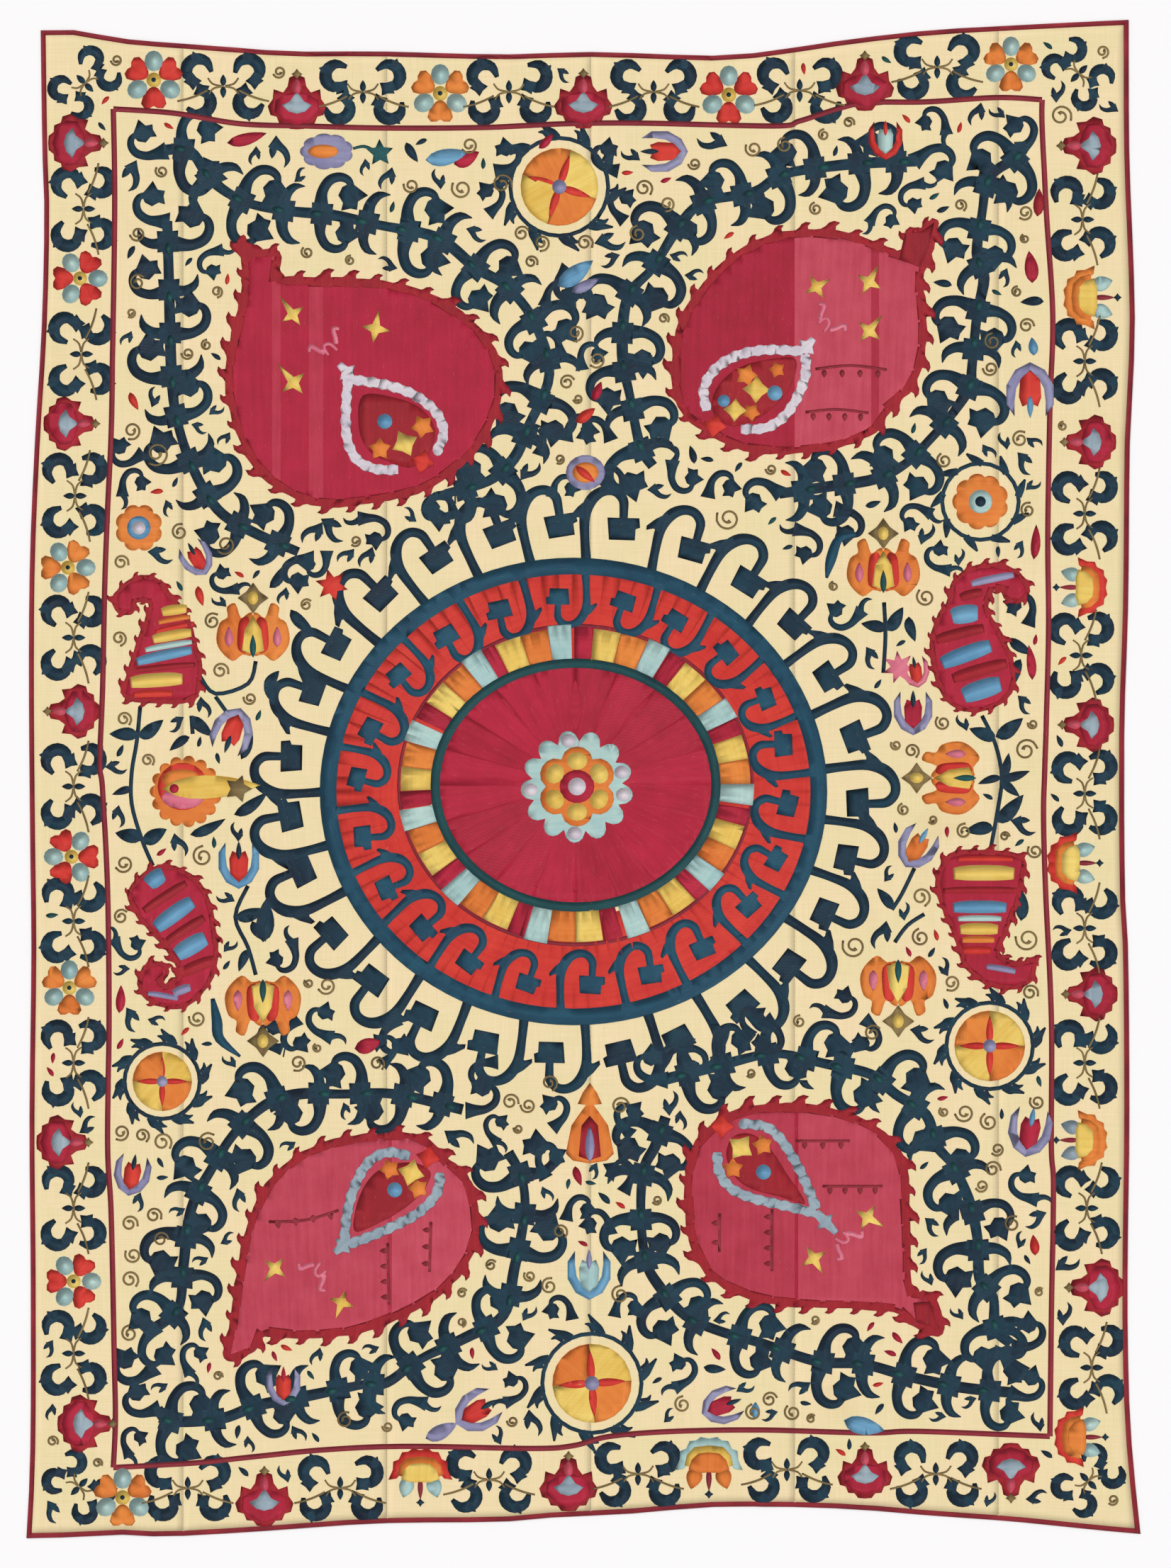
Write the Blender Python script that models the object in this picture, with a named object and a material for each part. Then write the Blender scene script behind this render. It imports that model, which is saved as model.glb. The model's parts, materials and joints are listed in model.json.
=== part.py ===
"""Suzani: an embroidered cotton hanging of six loom widths with a braid edge, lying flat.

Metres, +Z up. The cloth lies on its back in the XY plane, +Y towards its top edge, and the
origin is under the middle of its outline, on the surface that it lies on.

The ground is six lengths of narrow hand-loomed cotton, sewn together side by side along their
selvedges. A silk braid is sewn on as an edging, one length to each side, with its ends mitred at
the corners. The cloth has been pulled out of true by its own embroidery, so each side is a
shallow uneven curve.
"""

import bmesh
import bpy

MM = 0.001

# Driving dimensions
CLOTH_WIDTH = 1804 * MM
CLOTH_LENGTH = 2460 * MM
CLOTH_THICKNESS = 1.4 * MM
LOOM_WIDTH = 330 * MM
MIDDLE_SEAM_X = 12 * MM
BRAID_WIDTH = 8 * MM
BRAID_THICKNESS = 2.2 * MM
BRAID_ROUNDING = 0.7 * MM
SEAM_GAP = 0.3 * MM
MITRE_GAP = 0.22 * MM

# Mesh sizes
PANEL_COLUMNS = 5
PANEL_ROWS = 36

HALF_WIDTH = CLOTH_WIDTH / 2
HALF_LENGTH = CLOTH_LENGTH / 2

# How each side of the cloth bows in from a true rectangle: (how far along the side, from -1 to 1,
# how far in, in millimetres). The top and bottom run along +X, the left and right along +Y.
TOP_BOW = [
    (-0.974, 17), (-0.909, 17), (-0.833, 30), (-0.680, 41), (-0.527, 51), (-0.374, 51),
    (-0.144, 56), (0.009, 52), (0.238, 58), (0.315, 53), (0.468, 33), (0.621, 17),
    (0.774, 9), (0.927, 2), (0.979, 0),
]
BOTTOM_BOW = [
    (-1.000, 0), (-0.909, 2), (-0.833, 6), (-0.756, 3), (-0.603, 10), (-0.374, 24),
    (-0.144, 27), (-0.068, 33), (0.085, 40), (0.238, 51), (0.468, 48), (0.621, 37),
    (0.774, 27), (0.927, 13), (1.000, 7),
]
LEFT_BOW = [
    (-1.000, 0), (-0.898, 6), (-0.674, 7), (-0.450, 5), (-0.225, 8), (-0.076, 6),
    (0.149, 4), (0.298, 6), (0.448, 14), (0.598, 25), (0.747, 29), (0.822, 26), (0.986, 23),
]
RIGHT_BOW = [
    (-0.994, 0), (-0.898, 12), (-0.824, 18), (-0.674, 21), (-0.450, 18), (-0.225, 20),
    (-0.150, 25), (0.074, 26), (0.224, 20), (0.448, 17), (0.523, 12), (0.598, 9),
    (0.672, 11), (0.822, 18), (1.000, 19),
]

# Colours, as linear RGB
COTTON_COLOUR = (0.79, 0.66, 0.42, 1.0)
BRAID_COLOUR = (0.36, 0.03, 0.05, 1.0)


def bow(table, along):
    """How far in a side is at a share along it, on a smooth curve through its table."""
    last = len(table) - 1
    slopes = []
    for i in range(last + 1):
        before, after = table[max(i - 1, 0)], table[min(i + 1, last)]
        slopes.append((after[1] - before[1]) / (after[0] - before[0]))
    i = 0
    while i < last - 1 and along > table[i + 1][0]:
        i += 1
    (a0, in0), (a1, in1) = table[i], table[i + 1]
    span = a1 - a0
    t = min(max((along - a0) / span, 0.0), 1.0)
    level = in0 * (2 * t**3 - 3 * t**2 + 1) + in1 * (3 * t**2 - 2 * t**3)
    swing = slopes[i] * (t**3 - 2 * t**2 + t) + slopes[i + 1] * (t**3 - t**2)
    return (level + span * swing) * MM


def top_y(x, inset):
    return HALF_LENGTH - bow(TOP_BOW, x / HALF_WIDTH) - inset


def bottom_y(x, inset):
    return bow(BOTTOM_BOW, x / HALF_WIDTH) + inset - HALF_LENGTH


def left_x(y, inset):
    return bow(LEFT_BOW, y / HALF_LENGTH) + inset - HALF_WIDTH


def right_x(y, inset):
    return HALF_WIDTH - bow(RIGHT_BOW, y / HALF_LENGTH) - inset


def straight_side(x):
    """A straight side along a seam, in the form that cloth_point takes."""
    return lambda y, inset: x


def cloth_point(u, v, inset, sides=(left_x, right_x)):
    """The point at share u across and share v up the cloth, taken in from its outline."""
    x, y = 0.0, 0.0
    for _ in range(6):
        x = (1 - u) * sides[0](y, inset) + u * sides[1](y, inset)
        y = (1 - v) * bottom_y(x, inset) + v * top_y(x, inset)
    return x, y


def panel_sides():
    """The left and right side of each length of cotton, half a gap short of its seams."""
    seams = [MIDDLE_SEAM_X + step * LOOM_WIDTH for step in (-2, -1, 0, 1, 2)]
    lefts = [left_x] + [straight_side(x + SEAM_GAP / 2) for x in seams]
    rights = [straight_side(x - SEAM_GAP / 2) for x in seams] + [right_x]
    return list(zip(lefts, rights))


def make_material(name, colour, roughness):
    material = bpy.data.materials.new(name)
    material.use_nodes = True
    shader = material.node_tree.nodes["Principled BSDF"]
    shader.inputs["Base Color"].default_value = colour
    shader.inputs["Roughness"].default_value = roughness
    shader.inputs["Metallic"].default_value = 0.0
    return material


def add_object(name, bm, material):
    """Makes an object of a finished mesh, with its faces turned outwards."""
    bmesh.ops.recalc_face_normals(bm, faces=bm.faces)
    mesh = bpy.data.meshes.new(name)
    bm.to_mesh(mesh)
    bm.free()
    mesh.materials.append(material)
    obj = bpy.data.objects.new(name, mesh)
    bpy.context.scene.collection.objects.link(obj)
    return obj


def make_panel(name, sides, material):
    """One length of the cotton: a flat slab between two sides, taken in from the braid."""
    inset = BRAID_WIDTH + SEAM_GAP
    bm = bmesh.new()
    layers = []
    for z in (0.0, CLOTH_THICKNESS):
        rows = []
        for row in range(PANEL_ROWS + 1):
            points = []
            for column in range(PANEL_COLUMNS + 1):
                x, y = cloth_point(column / PANEL_COLUMNS, row / PANEL_ROWS, inset, sides)
                points.append(bm.verts.new((x, y, z)))
            rows.append(points)
        layers.append(rows)
    under, over = layers
    for rows in layers:
        for low, high in zip(rows, rows[1:]):
            for i in range(PANEL_COLUMNS):
                bm.faces.new((low[i], low[i + 1], high[i + 1], high[i]))
    for row in range(PANEL_ROWS):
        for column in (0, PANEL_COLUMNS):
            bm.faces.new((under[row][column], under[row + 1][column],
                          over[row + 1][column], over[row][column]))
    for column in range(PANEL_COLUMNS):
        for row in (0, PANEL_ROWS):
            bm.faces.new((under[row][column], under[row][column + 1],
                          over[row][column + 1], over[row][column]))
    return add_object(name, bm, material)


def braid_route(side, inset):
    """The points along one side of the outline, at the same steps as the panels' own edges."""
    if side in ("left", "right"):
        u = 0.0 if side == "left" else 1.0
        return [cloth_point(u, row / PANEL_ROWS, inset) for row in range(PANEL_ROWS + 1)]
    v = 1.0 if side == "top" else 0.0
    route = []
    for sides in panel_sides():
        for column in range(PANEL_COLUMNS):
            route.append(cloth_point(column / PANEL_COLUMNS, v, inset, sides))
    route.append(cloth_point(1.0, v, inset))
    return route


def shortened(route, side):
    """Draws a braid's two ends back from their mitres, clear of the next sides' braids."""
    (x0, y0), (x1, y1) = route[0], route[-1]
    if side in ("top", "bottom"):
        return [(x0 + MITRE_GAP, y0)] + route[1:-1] + [(x1 - MITRE_GAP, y1)]
    return [(x0, y0 + MITRE_GAP)] + route[1:-1] + [(x1, y1 - MITRE_GAP)]


def braid_section(outer, inner):
    """The braid's flat, round-cornered section between two points of its outer and inner edge."""
    (ox, oy), (ix, iy) = outer, inner
    share = BRAID_ROUNDING / BRAID_WIDTH
    shoulder_out = (ox + share * (ix - ox), oy + share * (iy - oy))
    shoulder_in = (ix + share * (ox - ix), iy + share * (oy - iy))
    crown = ((ox + ix) / 2, (oy + iy) / 2)
    side_low = BRAID_ROUNDING / 2
    side_high = BRAID_THICKNESS - BRAID_ROUNDING
    shoulder_high = BRAID_THICKNESS - BRAID_ROUNDING / 3
    return [
        (*shoulder_out, 0.0), (ox, oy, side_low), (ox, oy, side_high),
        (*shoulder_out, shoulder_high), (*crown, BRAID_THICKNESS), (*shoulder_in, shoulder_high),
        (ix, iy, side_high), (ix, iy, side_low), (*shoulder_in, 0.0),
    ]


def make_braid(side, material):
    """The braid along one side: its section carried along the outline and closed at both ends."""
    outer = shortened(braid_route(side, 0.0), side)
    inner = shortened(braid_route(side, BRAID_WIDTH), side)
    bm = bmesh.new()
    rings = []
    for outer_point, inner_point in zip(outer, inner):
        section = braid_section(outer_point, inner_point)
        rings.append([bm.verts.new(point) for point in section])
    for ring, after in zip(rings, rings[1:]):
        for i in range(len(ring)):
            j = (i + 1) % len(ring)
            bm.faces.new((ring[i], ring[j], after[j], after[i]))
    bm.faces.new(rings[0])
    bm.faces.new(rings[-1])
    return add_object(f"braid_{side}", bm, material)


def main():
    for obj in list(bpy.data.objects):
        bpy.data.objects.remove(obj, do_unlink=True)
    cotton = make_material("cotton", COTTON_COLOUR, 0.9)
    braid_silk = make_material("braid_silk", BRAID_COLOUR, 0.6)
    for number, sides in enumerate(panel_sides(), start=1):
        make_panel(f"panel_{number}", sides, cotton)
    for side in ("top", "bottom", "left", "right"):
        make_braid(side, braid_silk)


main()
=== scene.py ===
# %% [markdown]
# # A suzani: silk on cotton, lying flat
#
# A suzani is a cotton cloth covered with silk embroidery. The cotton is woven on a narrow loom,
# so a large one is sewn together from several lengths, and a silk braid is sewn over its edge.
# The solids of those pieces are ready. This lesson gives them their cloth, and then embroiders
# them: each silk is a mesh of its own, raised a little from the cotton.

# %% Load the solids
import json
import math
import random
from collections import defaultdict

import bpy
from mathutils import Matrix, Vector
from mathutils.geometry import delaunay_2d_cdt

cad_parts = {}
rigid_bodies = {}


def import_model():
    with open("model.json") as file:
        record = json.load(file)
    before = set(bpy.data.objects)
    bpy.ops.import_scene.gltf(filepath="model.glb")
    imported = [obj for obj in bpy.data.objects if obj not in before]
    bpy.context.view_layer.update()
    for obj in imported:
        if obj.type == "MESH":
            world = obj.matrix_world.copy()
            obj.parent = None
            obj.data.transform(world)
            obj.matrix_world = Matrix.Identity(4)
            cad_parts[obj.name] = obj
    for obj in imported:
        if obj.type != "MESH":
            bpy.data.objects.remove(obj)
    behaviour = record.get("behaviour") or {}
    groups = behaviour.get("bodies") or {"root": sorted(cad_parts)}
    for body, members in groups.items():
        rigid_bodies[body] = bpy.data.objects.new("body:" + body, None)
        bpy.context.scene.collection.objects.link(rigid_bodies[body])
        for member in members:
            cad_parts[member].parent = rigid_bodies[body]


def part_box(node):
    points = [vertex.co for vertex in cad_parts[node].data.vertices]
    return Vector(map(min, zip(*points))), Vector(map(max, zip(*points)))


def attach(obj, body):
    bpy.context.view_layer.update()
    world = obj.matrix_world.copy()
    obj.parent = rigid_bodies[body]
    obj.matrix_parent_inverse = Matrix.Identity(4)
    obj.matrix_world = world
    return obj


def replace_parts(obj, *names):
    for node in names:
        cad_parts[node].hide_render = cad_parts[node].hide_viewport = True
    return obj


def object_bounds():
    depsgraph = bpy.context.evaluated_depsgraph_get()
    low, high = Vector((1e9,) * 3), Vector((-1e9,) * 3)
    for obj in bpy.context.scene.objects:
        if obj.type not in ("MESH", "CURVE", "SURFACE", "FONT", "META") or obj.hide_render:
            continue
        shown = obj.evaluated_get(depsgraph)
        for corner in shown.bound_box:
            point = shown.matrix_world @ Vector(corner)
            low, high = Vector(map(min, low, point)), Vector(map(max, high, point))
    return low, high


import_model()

MM = 0.001
cad_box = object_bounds()
print("the solids reach from", [round(v, 4) for v in cad_box[0]], "to", [round(v, 4) for v in cad_box[1]])

# %% [markdown]
# ## The chart
#
# Embroidery is drawn on the cloth before it is sewn. This drawing is charted on a photograph:
# a place on the chart is a pixel there, counted from the top left corner, and one chart step is
# a fixed length on the cloth. Angles are in degrees, 0 to the right and 90 up.

# %% Chart steps to metres
STEP = 1.148 * MM
CHART_SIZE = (1652, 2213)
CHART_MIDDLE = (823.0, 1099.5)


def on_cloth(x, y):
    """The point of the cloth, in metres, at a place on the chart."""
    return (x - CHART_MIDDLE[0]) * STEP, (CHART_MIDDLE[1] - y) * STEP


def new_object(name, data):
    """An object in the scene, at the origin."""
    obj = bpy.data.objects.new(name, data)
    bpy.context.scene.collection.objects.link(obj)
    return obj


# %% [markdown]
# ## Camera, floor and light
#
# The cloth is seen from straight above. The lens is a long one, and it is hung just high enough
# for the chart's height to fill the picture. A wide soft sun from the upper left shows the relief
# of the stitching, and an even sky fills its shadows.

# %% Camera
LENS, SENSOR = 85.0, 36.0
camera_data = bpy.data.cameras.new("camera")
camera_data.lens = LENS
camera_data.sensor_width = SENSOR
camera = new_object("camera", camera_data)
view_x, view_y = on_cloth(CHART_SIZE[0] / 2, CHART_SIZE[1] / 2)
camera.location = (view_x, view_y, LENS / SENSOR * CHART_SIZE[1] * STEP)
bpy.context.scene.camera = camera
print("camera height", round(camera.location.z, 3))

# %% Floor, sun and sky
FLOOR_SIZE, FLOOR_DROP = 14.0, 0.3 * MM
half = FLOOR_SIZE / 2
floor_mesh = bpy.data.meshes.new("floor")
floor_corners = [(x * half, y * half, -FLOOR_DROP) for x, y in ((-1, -1), (1, -1), (1, 1), (-1, 1))]
floor_mesh.from_pydata(floor_corners, [], [(0, 1, 2, 3)])
floor = new_object("floor", floor_mesh)

# The sun's strength, its width in degrees, and how it is tilted from straight down
SUN_ENERGY, SUN_WIDTH, SUN_TILT = 1.55, 22, (-28, -32)
sun_data = bpy.data.lights.new("studio_sun", "SUN")
sun_data.energy = SUN_ENERGY
sun_data.angle = math.radians(SUN_WIDTH)
sun = new_object("studio_sun", sun_data)
sun.rotation_euler = (math.radians(SUN_TILT[0]), math.radians(SUN_TILT[1]), 0)

SKY_STRENGTH = 0.62
world = bpy.data.worlds.new("studio_sky")
world.use_nodes = True
background = world.node_tree.nodes["Background"]
background.inputs["Color"].default_value = (1, 1, 1, 1)
background.inputs["Strength"].default_value = SKY_STRENGTH
bpy.context.scene.world = world
bpy.context.scene.view_settings.view_transform = "Standard"

# %% [markdown]
# ## Finishes
#
# Two effects are shared, so each is a node group. One is couched silk: long threads laid side by
# side, tied down by small slanting stitches, with the slow changes of shade that hand dyeing
# gives along a thread. The other is hand-loomed cotton, with its thick and thin threads.

# %% Helpers for node trees
def screen_colour(red, green, blue):
    """A colour as it looks on screen, 0 to 255, as the linear values that shaders use."""
    shares = [channel / 255 for channel in (red, green, blue)]
    return tuple(s / 12.92 if s <= 0.04 else ((s + 0.055) / 1.055) ** 2.4 for s in shares) + (1.0,)


def set_inputs(tree, node, inputs):
    """Sets a node's inputs to values, or wires them to other nodes' outputs."""
    for key, value in inputs.items():
        if isinstance(value, bpy.types.NodeSocket):
            tree.links.new(value, node.inputs[key])
        else:
            node.inputs[key].default_value = value


def add_node(tree, kind, inputs=None, **settings):
    """A node with its settings and its inputs."""
    node = tree.nodes.new(kind)
    for name, value in settings.items():
        setattr(node, name, value)
    set_inputs(tree, node, inputs or {})
    return node


def maths(tree, operation, a, b=0.0, c=0.0):
    return add_node(tree, "ShaderNodeMath", {0: a, 1: b, 2: c}, operation=operation).outputs[0]


def mixed(tree, factor, a, b):
    return add_node(tree, "ShaderNodeMix", {0: factor, 6: a, 7: b}, data_type="RGBA").outputs[2]


def noise(tree, vector, scale, detail=3.0, roughness=0.55):
    inputs = {"Vector": vector, "Scale": scale, "Detail": detail, "Roughness": roughness}
    return add_node(tree, "ShaderNodeTexNoise", inputs).outputs["Fac"]


def ramped(tree, value, low, high):
    """0 below low, 1 above high, and a straight slope between them."""
    inputs = {"Value": value, "From Min": low, "From Max": high}
    return add_node(tree, "ShaderNodeMapRange", inputs).outputs["Result"]


def stretched(tree, vector, x, y):
    """A pattern's place with its two directions scaled apart."""
    return add_node(tree, "ShaderNodeMapping", {"Vector": vector, "Scale": (x, y, 1.0)}).outputs[0]


def new_group(name, inputs, outputs):
    """An empty shader group with named sockets: (name, kind, default) and (name, kind)."""
    group = bpy.data.node_groups.new(name, "ShaderNodeTree")
    for socket, kind, default in inputs:
        made = group.interface.new_socket(name=socket, in_out="INPUT", socket_type=kind)
        if default is not None:
            made.default_value = default
    for socket, kind in outputs:
        group.interface.new_socket(name=socket, in_out="OUTPUT", socket_type=kind)
    return group, group.nodes.new("NodeGroupInput").outputs, group.nodes.new("NodeGroupOutput").inputs


# %% Couched silk: a group that gives its relief and its streaks of shade
def make_couched_silk():
    """Threads lie along the first direction of the vector, which is in metres."""
    inputs = [("Vector", "NodeSocketVector", None), ("Thread Width", "NodeSocketFloat", 0.0011),
              ("Tie Distance", "NodeSocketFloat", 0.006)]
    outputs = [(name, "NodeSocketFloat") for name in ("Relief", "Streak", "Wear")]
    group, given, result = new_group("couched_silk", inputs, outputs)
    parts = add_node(group, "ShaderNodeSeparateXYZ", {0: given["Vector"]}).outputs
    wobble = noise(group, stretched(group, given["Vector"], 30.0, 220.0), 1.0, 2.0)
    across = maths(group, "DIVIDE", parts["Y"], given["Thread Width"])
    bent = maths(group, "ADD", across, maths(group, "MULTIPLY", wobble, 1.5))
    phase = maths(group, "MULTIPLY", bent, math.tau)
    thread = maths(group, "MULTIPLY_ADD", maths(group, "SINE", phase), 0.5, 0.5)
    slant = maths(group, "MULTIPLY_ADD", parts["Y"], 0.7, parts["X"])
    turn = maths(group, "FRACT", maths(group, "DIVIDE", slant, given["Tie Distance"]))
    tie = ramped(group, maths(group, "ABSOLUTE", maths(group, "SUBTRACT", turn, 0.5)), 0.40, 0.47)
    relief = maths(group, "SUBTRACT", maths(group, "MULTIPLY_ADD", wobble, 0.6, thread), tie)
    streak = noise(group, stretched(group, given["Vector"], 9.0, 130.0), 1.0, 4.0)
    scuffs = noise(group, stretched(group, given["Vector"], 60.0, 420.0), 1.0, 5.0, 0.7)
    wear = ramped(group, scuffs, 0.62, 0.78)
    for name, socket in (("Relief", relief), ("Streak", streak), ("Wear", wear)):
        group.links.new(socket, result[name])
    return group


COUCHED_SILK = make_couched_silk()
print("couched silk has", len(COUCHED_SILK.nodes), "nodes")


# %% Hand-loomed cotton: a group that gives its weave and its uneven threads
def make_loomed_cotton():
    """A plain weave on the cloth's own plane. Vector is in metres."""
    inputs = [("Vector", "NodeSocketVector", None), ("Thread Width", "NodeSocketFloat", 0.0013)]
    outputs = [("Relief", "NodeSocketFloat"), ("Slub", "NodeSocketFloat")]
    group, given, result = new_group("loomed_cotton", inputs, outputs)
    parts = add_node(group, "ShaderNodeSeparateXYZ", {0: given["Vector"]}).outputs
    waves = []
    for axis in ("X", "Y"):
        threads = maths(group, "DIVIDE", parts[axis], given["Thread Width"])
        phase = maths(group, "MULTIPLY", threads, math.pi)
        waves.append(maths(group, "SINE", phase))
    weave = maths(group, "MULTIPLY", waves[0], waves[1])
    warp = noise(group, stretched(group, given["Vector"], 520.0, 16.0), 1.0, 3.0)
    weft = noise(group, stretched(group, given["Vector"], 16.0, 520.0), 1.0, 3.0)
    slub = maths(group, "MULTIPLY", maths(group, "ADD", warp, weft), 0.5)
    relief = maths(group, "MULTIPLY_ADD", slub, 3.0, maths(group, "MULTIPLY", weave, 0.5))
    group.links.new(relief, result["Relief"])
    group.links.new(slub, result["Slub"])
    return group


LOOMED_COTTON = make_loomed_cotton()
print("loomed cotton has", len(LOOMED_COTTON.nodes), "nodes")


# %% Materials
def new_material(name):
    """A material and its tree, with an empty Principled shader."""
    material = bpy.data.materials.new(name)
    material.use_nodes = True
    tree = material.node_tree
    return material, tree, tree.nodes["Principled BSDF"]


def bumped(tree, height, strength, distance):
    inputs = {"Height": height, "Strength": strength, "Distance": distance}
    return add_node(tree, "ShaderNodeBump", inputs).outputs[0]


COTTON_CREAM = (240, 222, 176)
# Each silk: its name, its deep shade and its light shade, as they look on screen
SILKS = {
    "navy": ((4, 22, 44), (14, 62, 80)),
    "ring_blue": ((10, 52, 78), (26, 86, 108)),
    "teal": ((10, 58, 66), (26, 92, 92)),
    "boteh": ((152, 10, 38), (190, 24, 62)),
    "crimson": ((156, 12, 40), (196, 30, 64)),
    "rose": ((188, 54, 76), (216, 90, 108)),
    "rose_pale": ((214, 96, 124), (236, 138, 156)),
    "madder": ((138, 12, 30), (178, 28, 42)),
    "scarlet": ((196, 30, 32), (228, 66, 48)),
    "dark_red": ((120, 22, 40), (166, 50, 62)),
    "orange": ((216, 104, 34), (242, 146, 62)),
    "yellow": ((226, 176, 62), (250, 222, 122)),
    "pale_blue": ((150, 190, 192), (198, 222, 212)),
    "sky": ((74, 130, 172), (122, 176, 208)),
    "lavender": ((122, 118, 160), (168, 166, 196)),
    "mist": ((128, 148, 164), (172, 188, 196)),
    "lilac_white": ((196, 184, 200), (232, 222, 226)),
    "olive": ((104, 84, 48), (154, 130, 82)),
}
# The paler dye lots of the palmettes, on the chart: left, right, top, bottom, how pale
PALER = [
    (1121, 1229, 300, 660, 0.9), (1229, 1240, 300, 660, 0.2), (1240, 1330, 300, 660, 0.8),
    (384, 396, 360, 720, 0.3), (436, 456, 380, 720, 0.3), (300, 547, 1590, 1930, 0.8),
    (547, 553, 1590, 1930, 0.3), (553, 690, 1590, 1930, 1.0), (960, 1121, 1550, 1890, 0.45),
    (1126, 1330, 1550, 1890, 0.75),
]


def paler_share(tree, place):
    """How pale the silk of the palmettes is at a place: 0 outside all the paler dye lots."""
    apart = add_node(tree, "ShaderNodeSeparateXYZ", {0: place}).outputs
    share = 0.0
    for left, right, top, bottom, paleness in PALER:
        x, y = on_cloth((left + right) / 2, (top + bottom) / 2)
        across = maths(tree, "COMPARE", apart["X"], x, (right - left) / 2 * STEP)
        down = maths(tree, "COMPARE", apart["Y"], y, (bottom - top) / 2 * STEP)
        inside = maths(tree, "MULTIPLY", down, across)
        share = maths(tree, "MULTIPLY_ADD", inside, paleness, share)
    return share


def make_silk(name):
    """A dyed silk: its shade runs from deep to light along the thread, and from patch to patch."""
    material, tree, shader = new_material(f"silk_{name}")
    thread = add_node(tree, "ShaderNodeUVMap", uv_map="thread").outputs[0]
    place = add_node(tree, "ShaderNodeTexCoord").outputs["Object"]
    silk = add_node(tree, "ShaderNodeGroup", {"Vector": thread}, node_tree=COUCHED_SILK)
    lot = add_node(tree, "ShaderNodeAttribute", attribute_name="dye_lot").outputs["Fac"]
    patchy = ramped(tree, noise(tree, place, 22.0, 3.0), 0.32, 0.68)
    streak = ramped(tree, silk.outputs["Streak"], 0.3, 0.7)
    shade = maths(tree, "MULTIPLY_ADD", streak, 0.38, maths(tree, "MULTIPLY_ADD", patchy, 0.34, 0.14))
    shade = maths(tree, "MULTIPLY_ADD", lot, 0.20, shade)
    shade = add_node(tree, "ShaderNodeClamp", {0: shade}).outputs[0]
    colour = mixed(tree, shade, *(screen_colour(*ends) for ends in SILKS[name]))
    if name == "boteh":
        pale = mixed(tree, shade, *(screen_colour(*ends) for ends in SILKS["rose"]))
        colour = mixed(tree, paler_share(tree, place), colour, pale)
    bare = maths(tree, "MULTIPLY", silk.outputs["Wear"], 0.22)
    set_inputs(tree, shader, {
        "Base Color": mixed(tree, bare, colour, screen_colour(*COTTON_CREAM)),
        "Roughness": maths(tree, "MULTIPLY_ADD", silk.outputs["Relief"], -0.10, 0.66),
        "Normal": bumped(tree, silk.outputs["Relief"], 0.55, 0.35 * MM),
        "Specular IOR Level": 0.35,
    })
    return material


silk_materials = {name: make_silk(name) for name in SILKS}
print("silks", len(silk_materials))


def make_cotton():
    """Old undyed cotton: cream, with warmer and paler patches, thread streaks and a few stains."""
    material, tree, shader = new_material("cotton")
    place = add_node(tree, "ShaderNodeTexCoord").outputs["Object"]
    cotton = add_node(tree, "ShaderNodeGroup", {"Vector": place}, node_tree=LOOMED_COTTON)
    warm = ramped(tree, noise(tree, place, 9.0, 4.0), 0.35, 0.68)
    colour = mixed(tree, warm, screen_colour(242, 226, 178), screen_colour(250, 226, 186))
    slub = ramped(tree, cotton.outputs["Slub"], 0.36, 0.66)
    colour = mixed(tree, maths(tree, "MULTIPLY", slub, 0.55), colour, screen_colour(226, 204, 150))
    stain = ramped(tree, noise(tree, place, 2.6, 5.0, 0.62), 0.63, 0.76)
    colour = mixed(tree, maths(tree, "MULTIPLY", stain, 0.35), colour, screen_colour(214, 184, 128))
    set_inputs(tree, shader, {
        "Base Color": colour,
        "Roughness": maths(tree, "MULTIPLY_ADD", slub, 0.08, 0.86),
        "Normal": bumped(tree, cotton.outputs["Relief"], 0.5, 0.3 * MM),
        "Specular IOR Level": 0.15,
    })
    return material


def make_floor_paint():
    """A pale matt studio floor."""
    material, tree, shader = new_material("floor_paint")
    place = add_node(tree, "ShaderNodeTexCoord").outputs["Object"]
    colour = mixed(tree, noise(tree, place, 3.0), screen_colour(253, 251, 252), screen_colour(254, 253, 253))
    set_inputs(tree, shader, {"Base Color": colour, "Roughness": 0.9})
    return material


cotton_material = make_cotton()
floor.data.materials.append(make_floor_paint())

# %% [markdown]
# ## How the cloth lies
#
# The cloth is flat on the floor, but the pull of the silk leaves it a little uneven. Its surface
# is a height for each place: the cotton's thickness, slow ripples, and some soft creases, each
# one a low ridge between two given ends. Everything sewn on the cloth takes its height there.

# %% The height of the cloth
COTTON_THICKNESS = 1.3 * MM
RIPPLE_HEIGHT = 0.35 * MM
SEAM_RISE, SEAM_REACH = 0.22 * MM, 9 * MM
LOOM_WIDTH = 330 * MM
LOOM_SEAMS = [(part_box(f"panel_{i}")[1][0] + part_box(f"panel_{i + 1}")[0][0]) / 2 for i in range(1, 6)]
# Each crease: from x, y to x, y on the chart, its height and its width in millimetres
CREASES = [
    (90, 520, 470, 470, 1.6, 34), (700, 60, 760, 330, 1.4, 30), (1240, 190, 1560, 260, 1.8, 40),
    (60, 1130, 420, 1180, 1.5, 36), (980, 640, 1300, 720, 1.2, 42), (1390, 1000, 1590, 1090, 1.9, 38),
    (500, 1560, 760, 1640, 1.3, 36), (120, 1880, 330, 2130, 1.8, 44), (900, 1900, 1240, 2060, 1.6, 40),
    (1290, 1700, 1560, 1760, 1.5, 34), (640, 980, 980, 1010, 0.9, 48), (700, 1240, 930, 1290, 0.9, 44),
    (330, 40, 380, 240, 1.5, 30), (1050, 2050, 1090, 2150, 1.6, 28), (60, 1500, 250, 1540, 1.4, 30),
]


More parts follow.
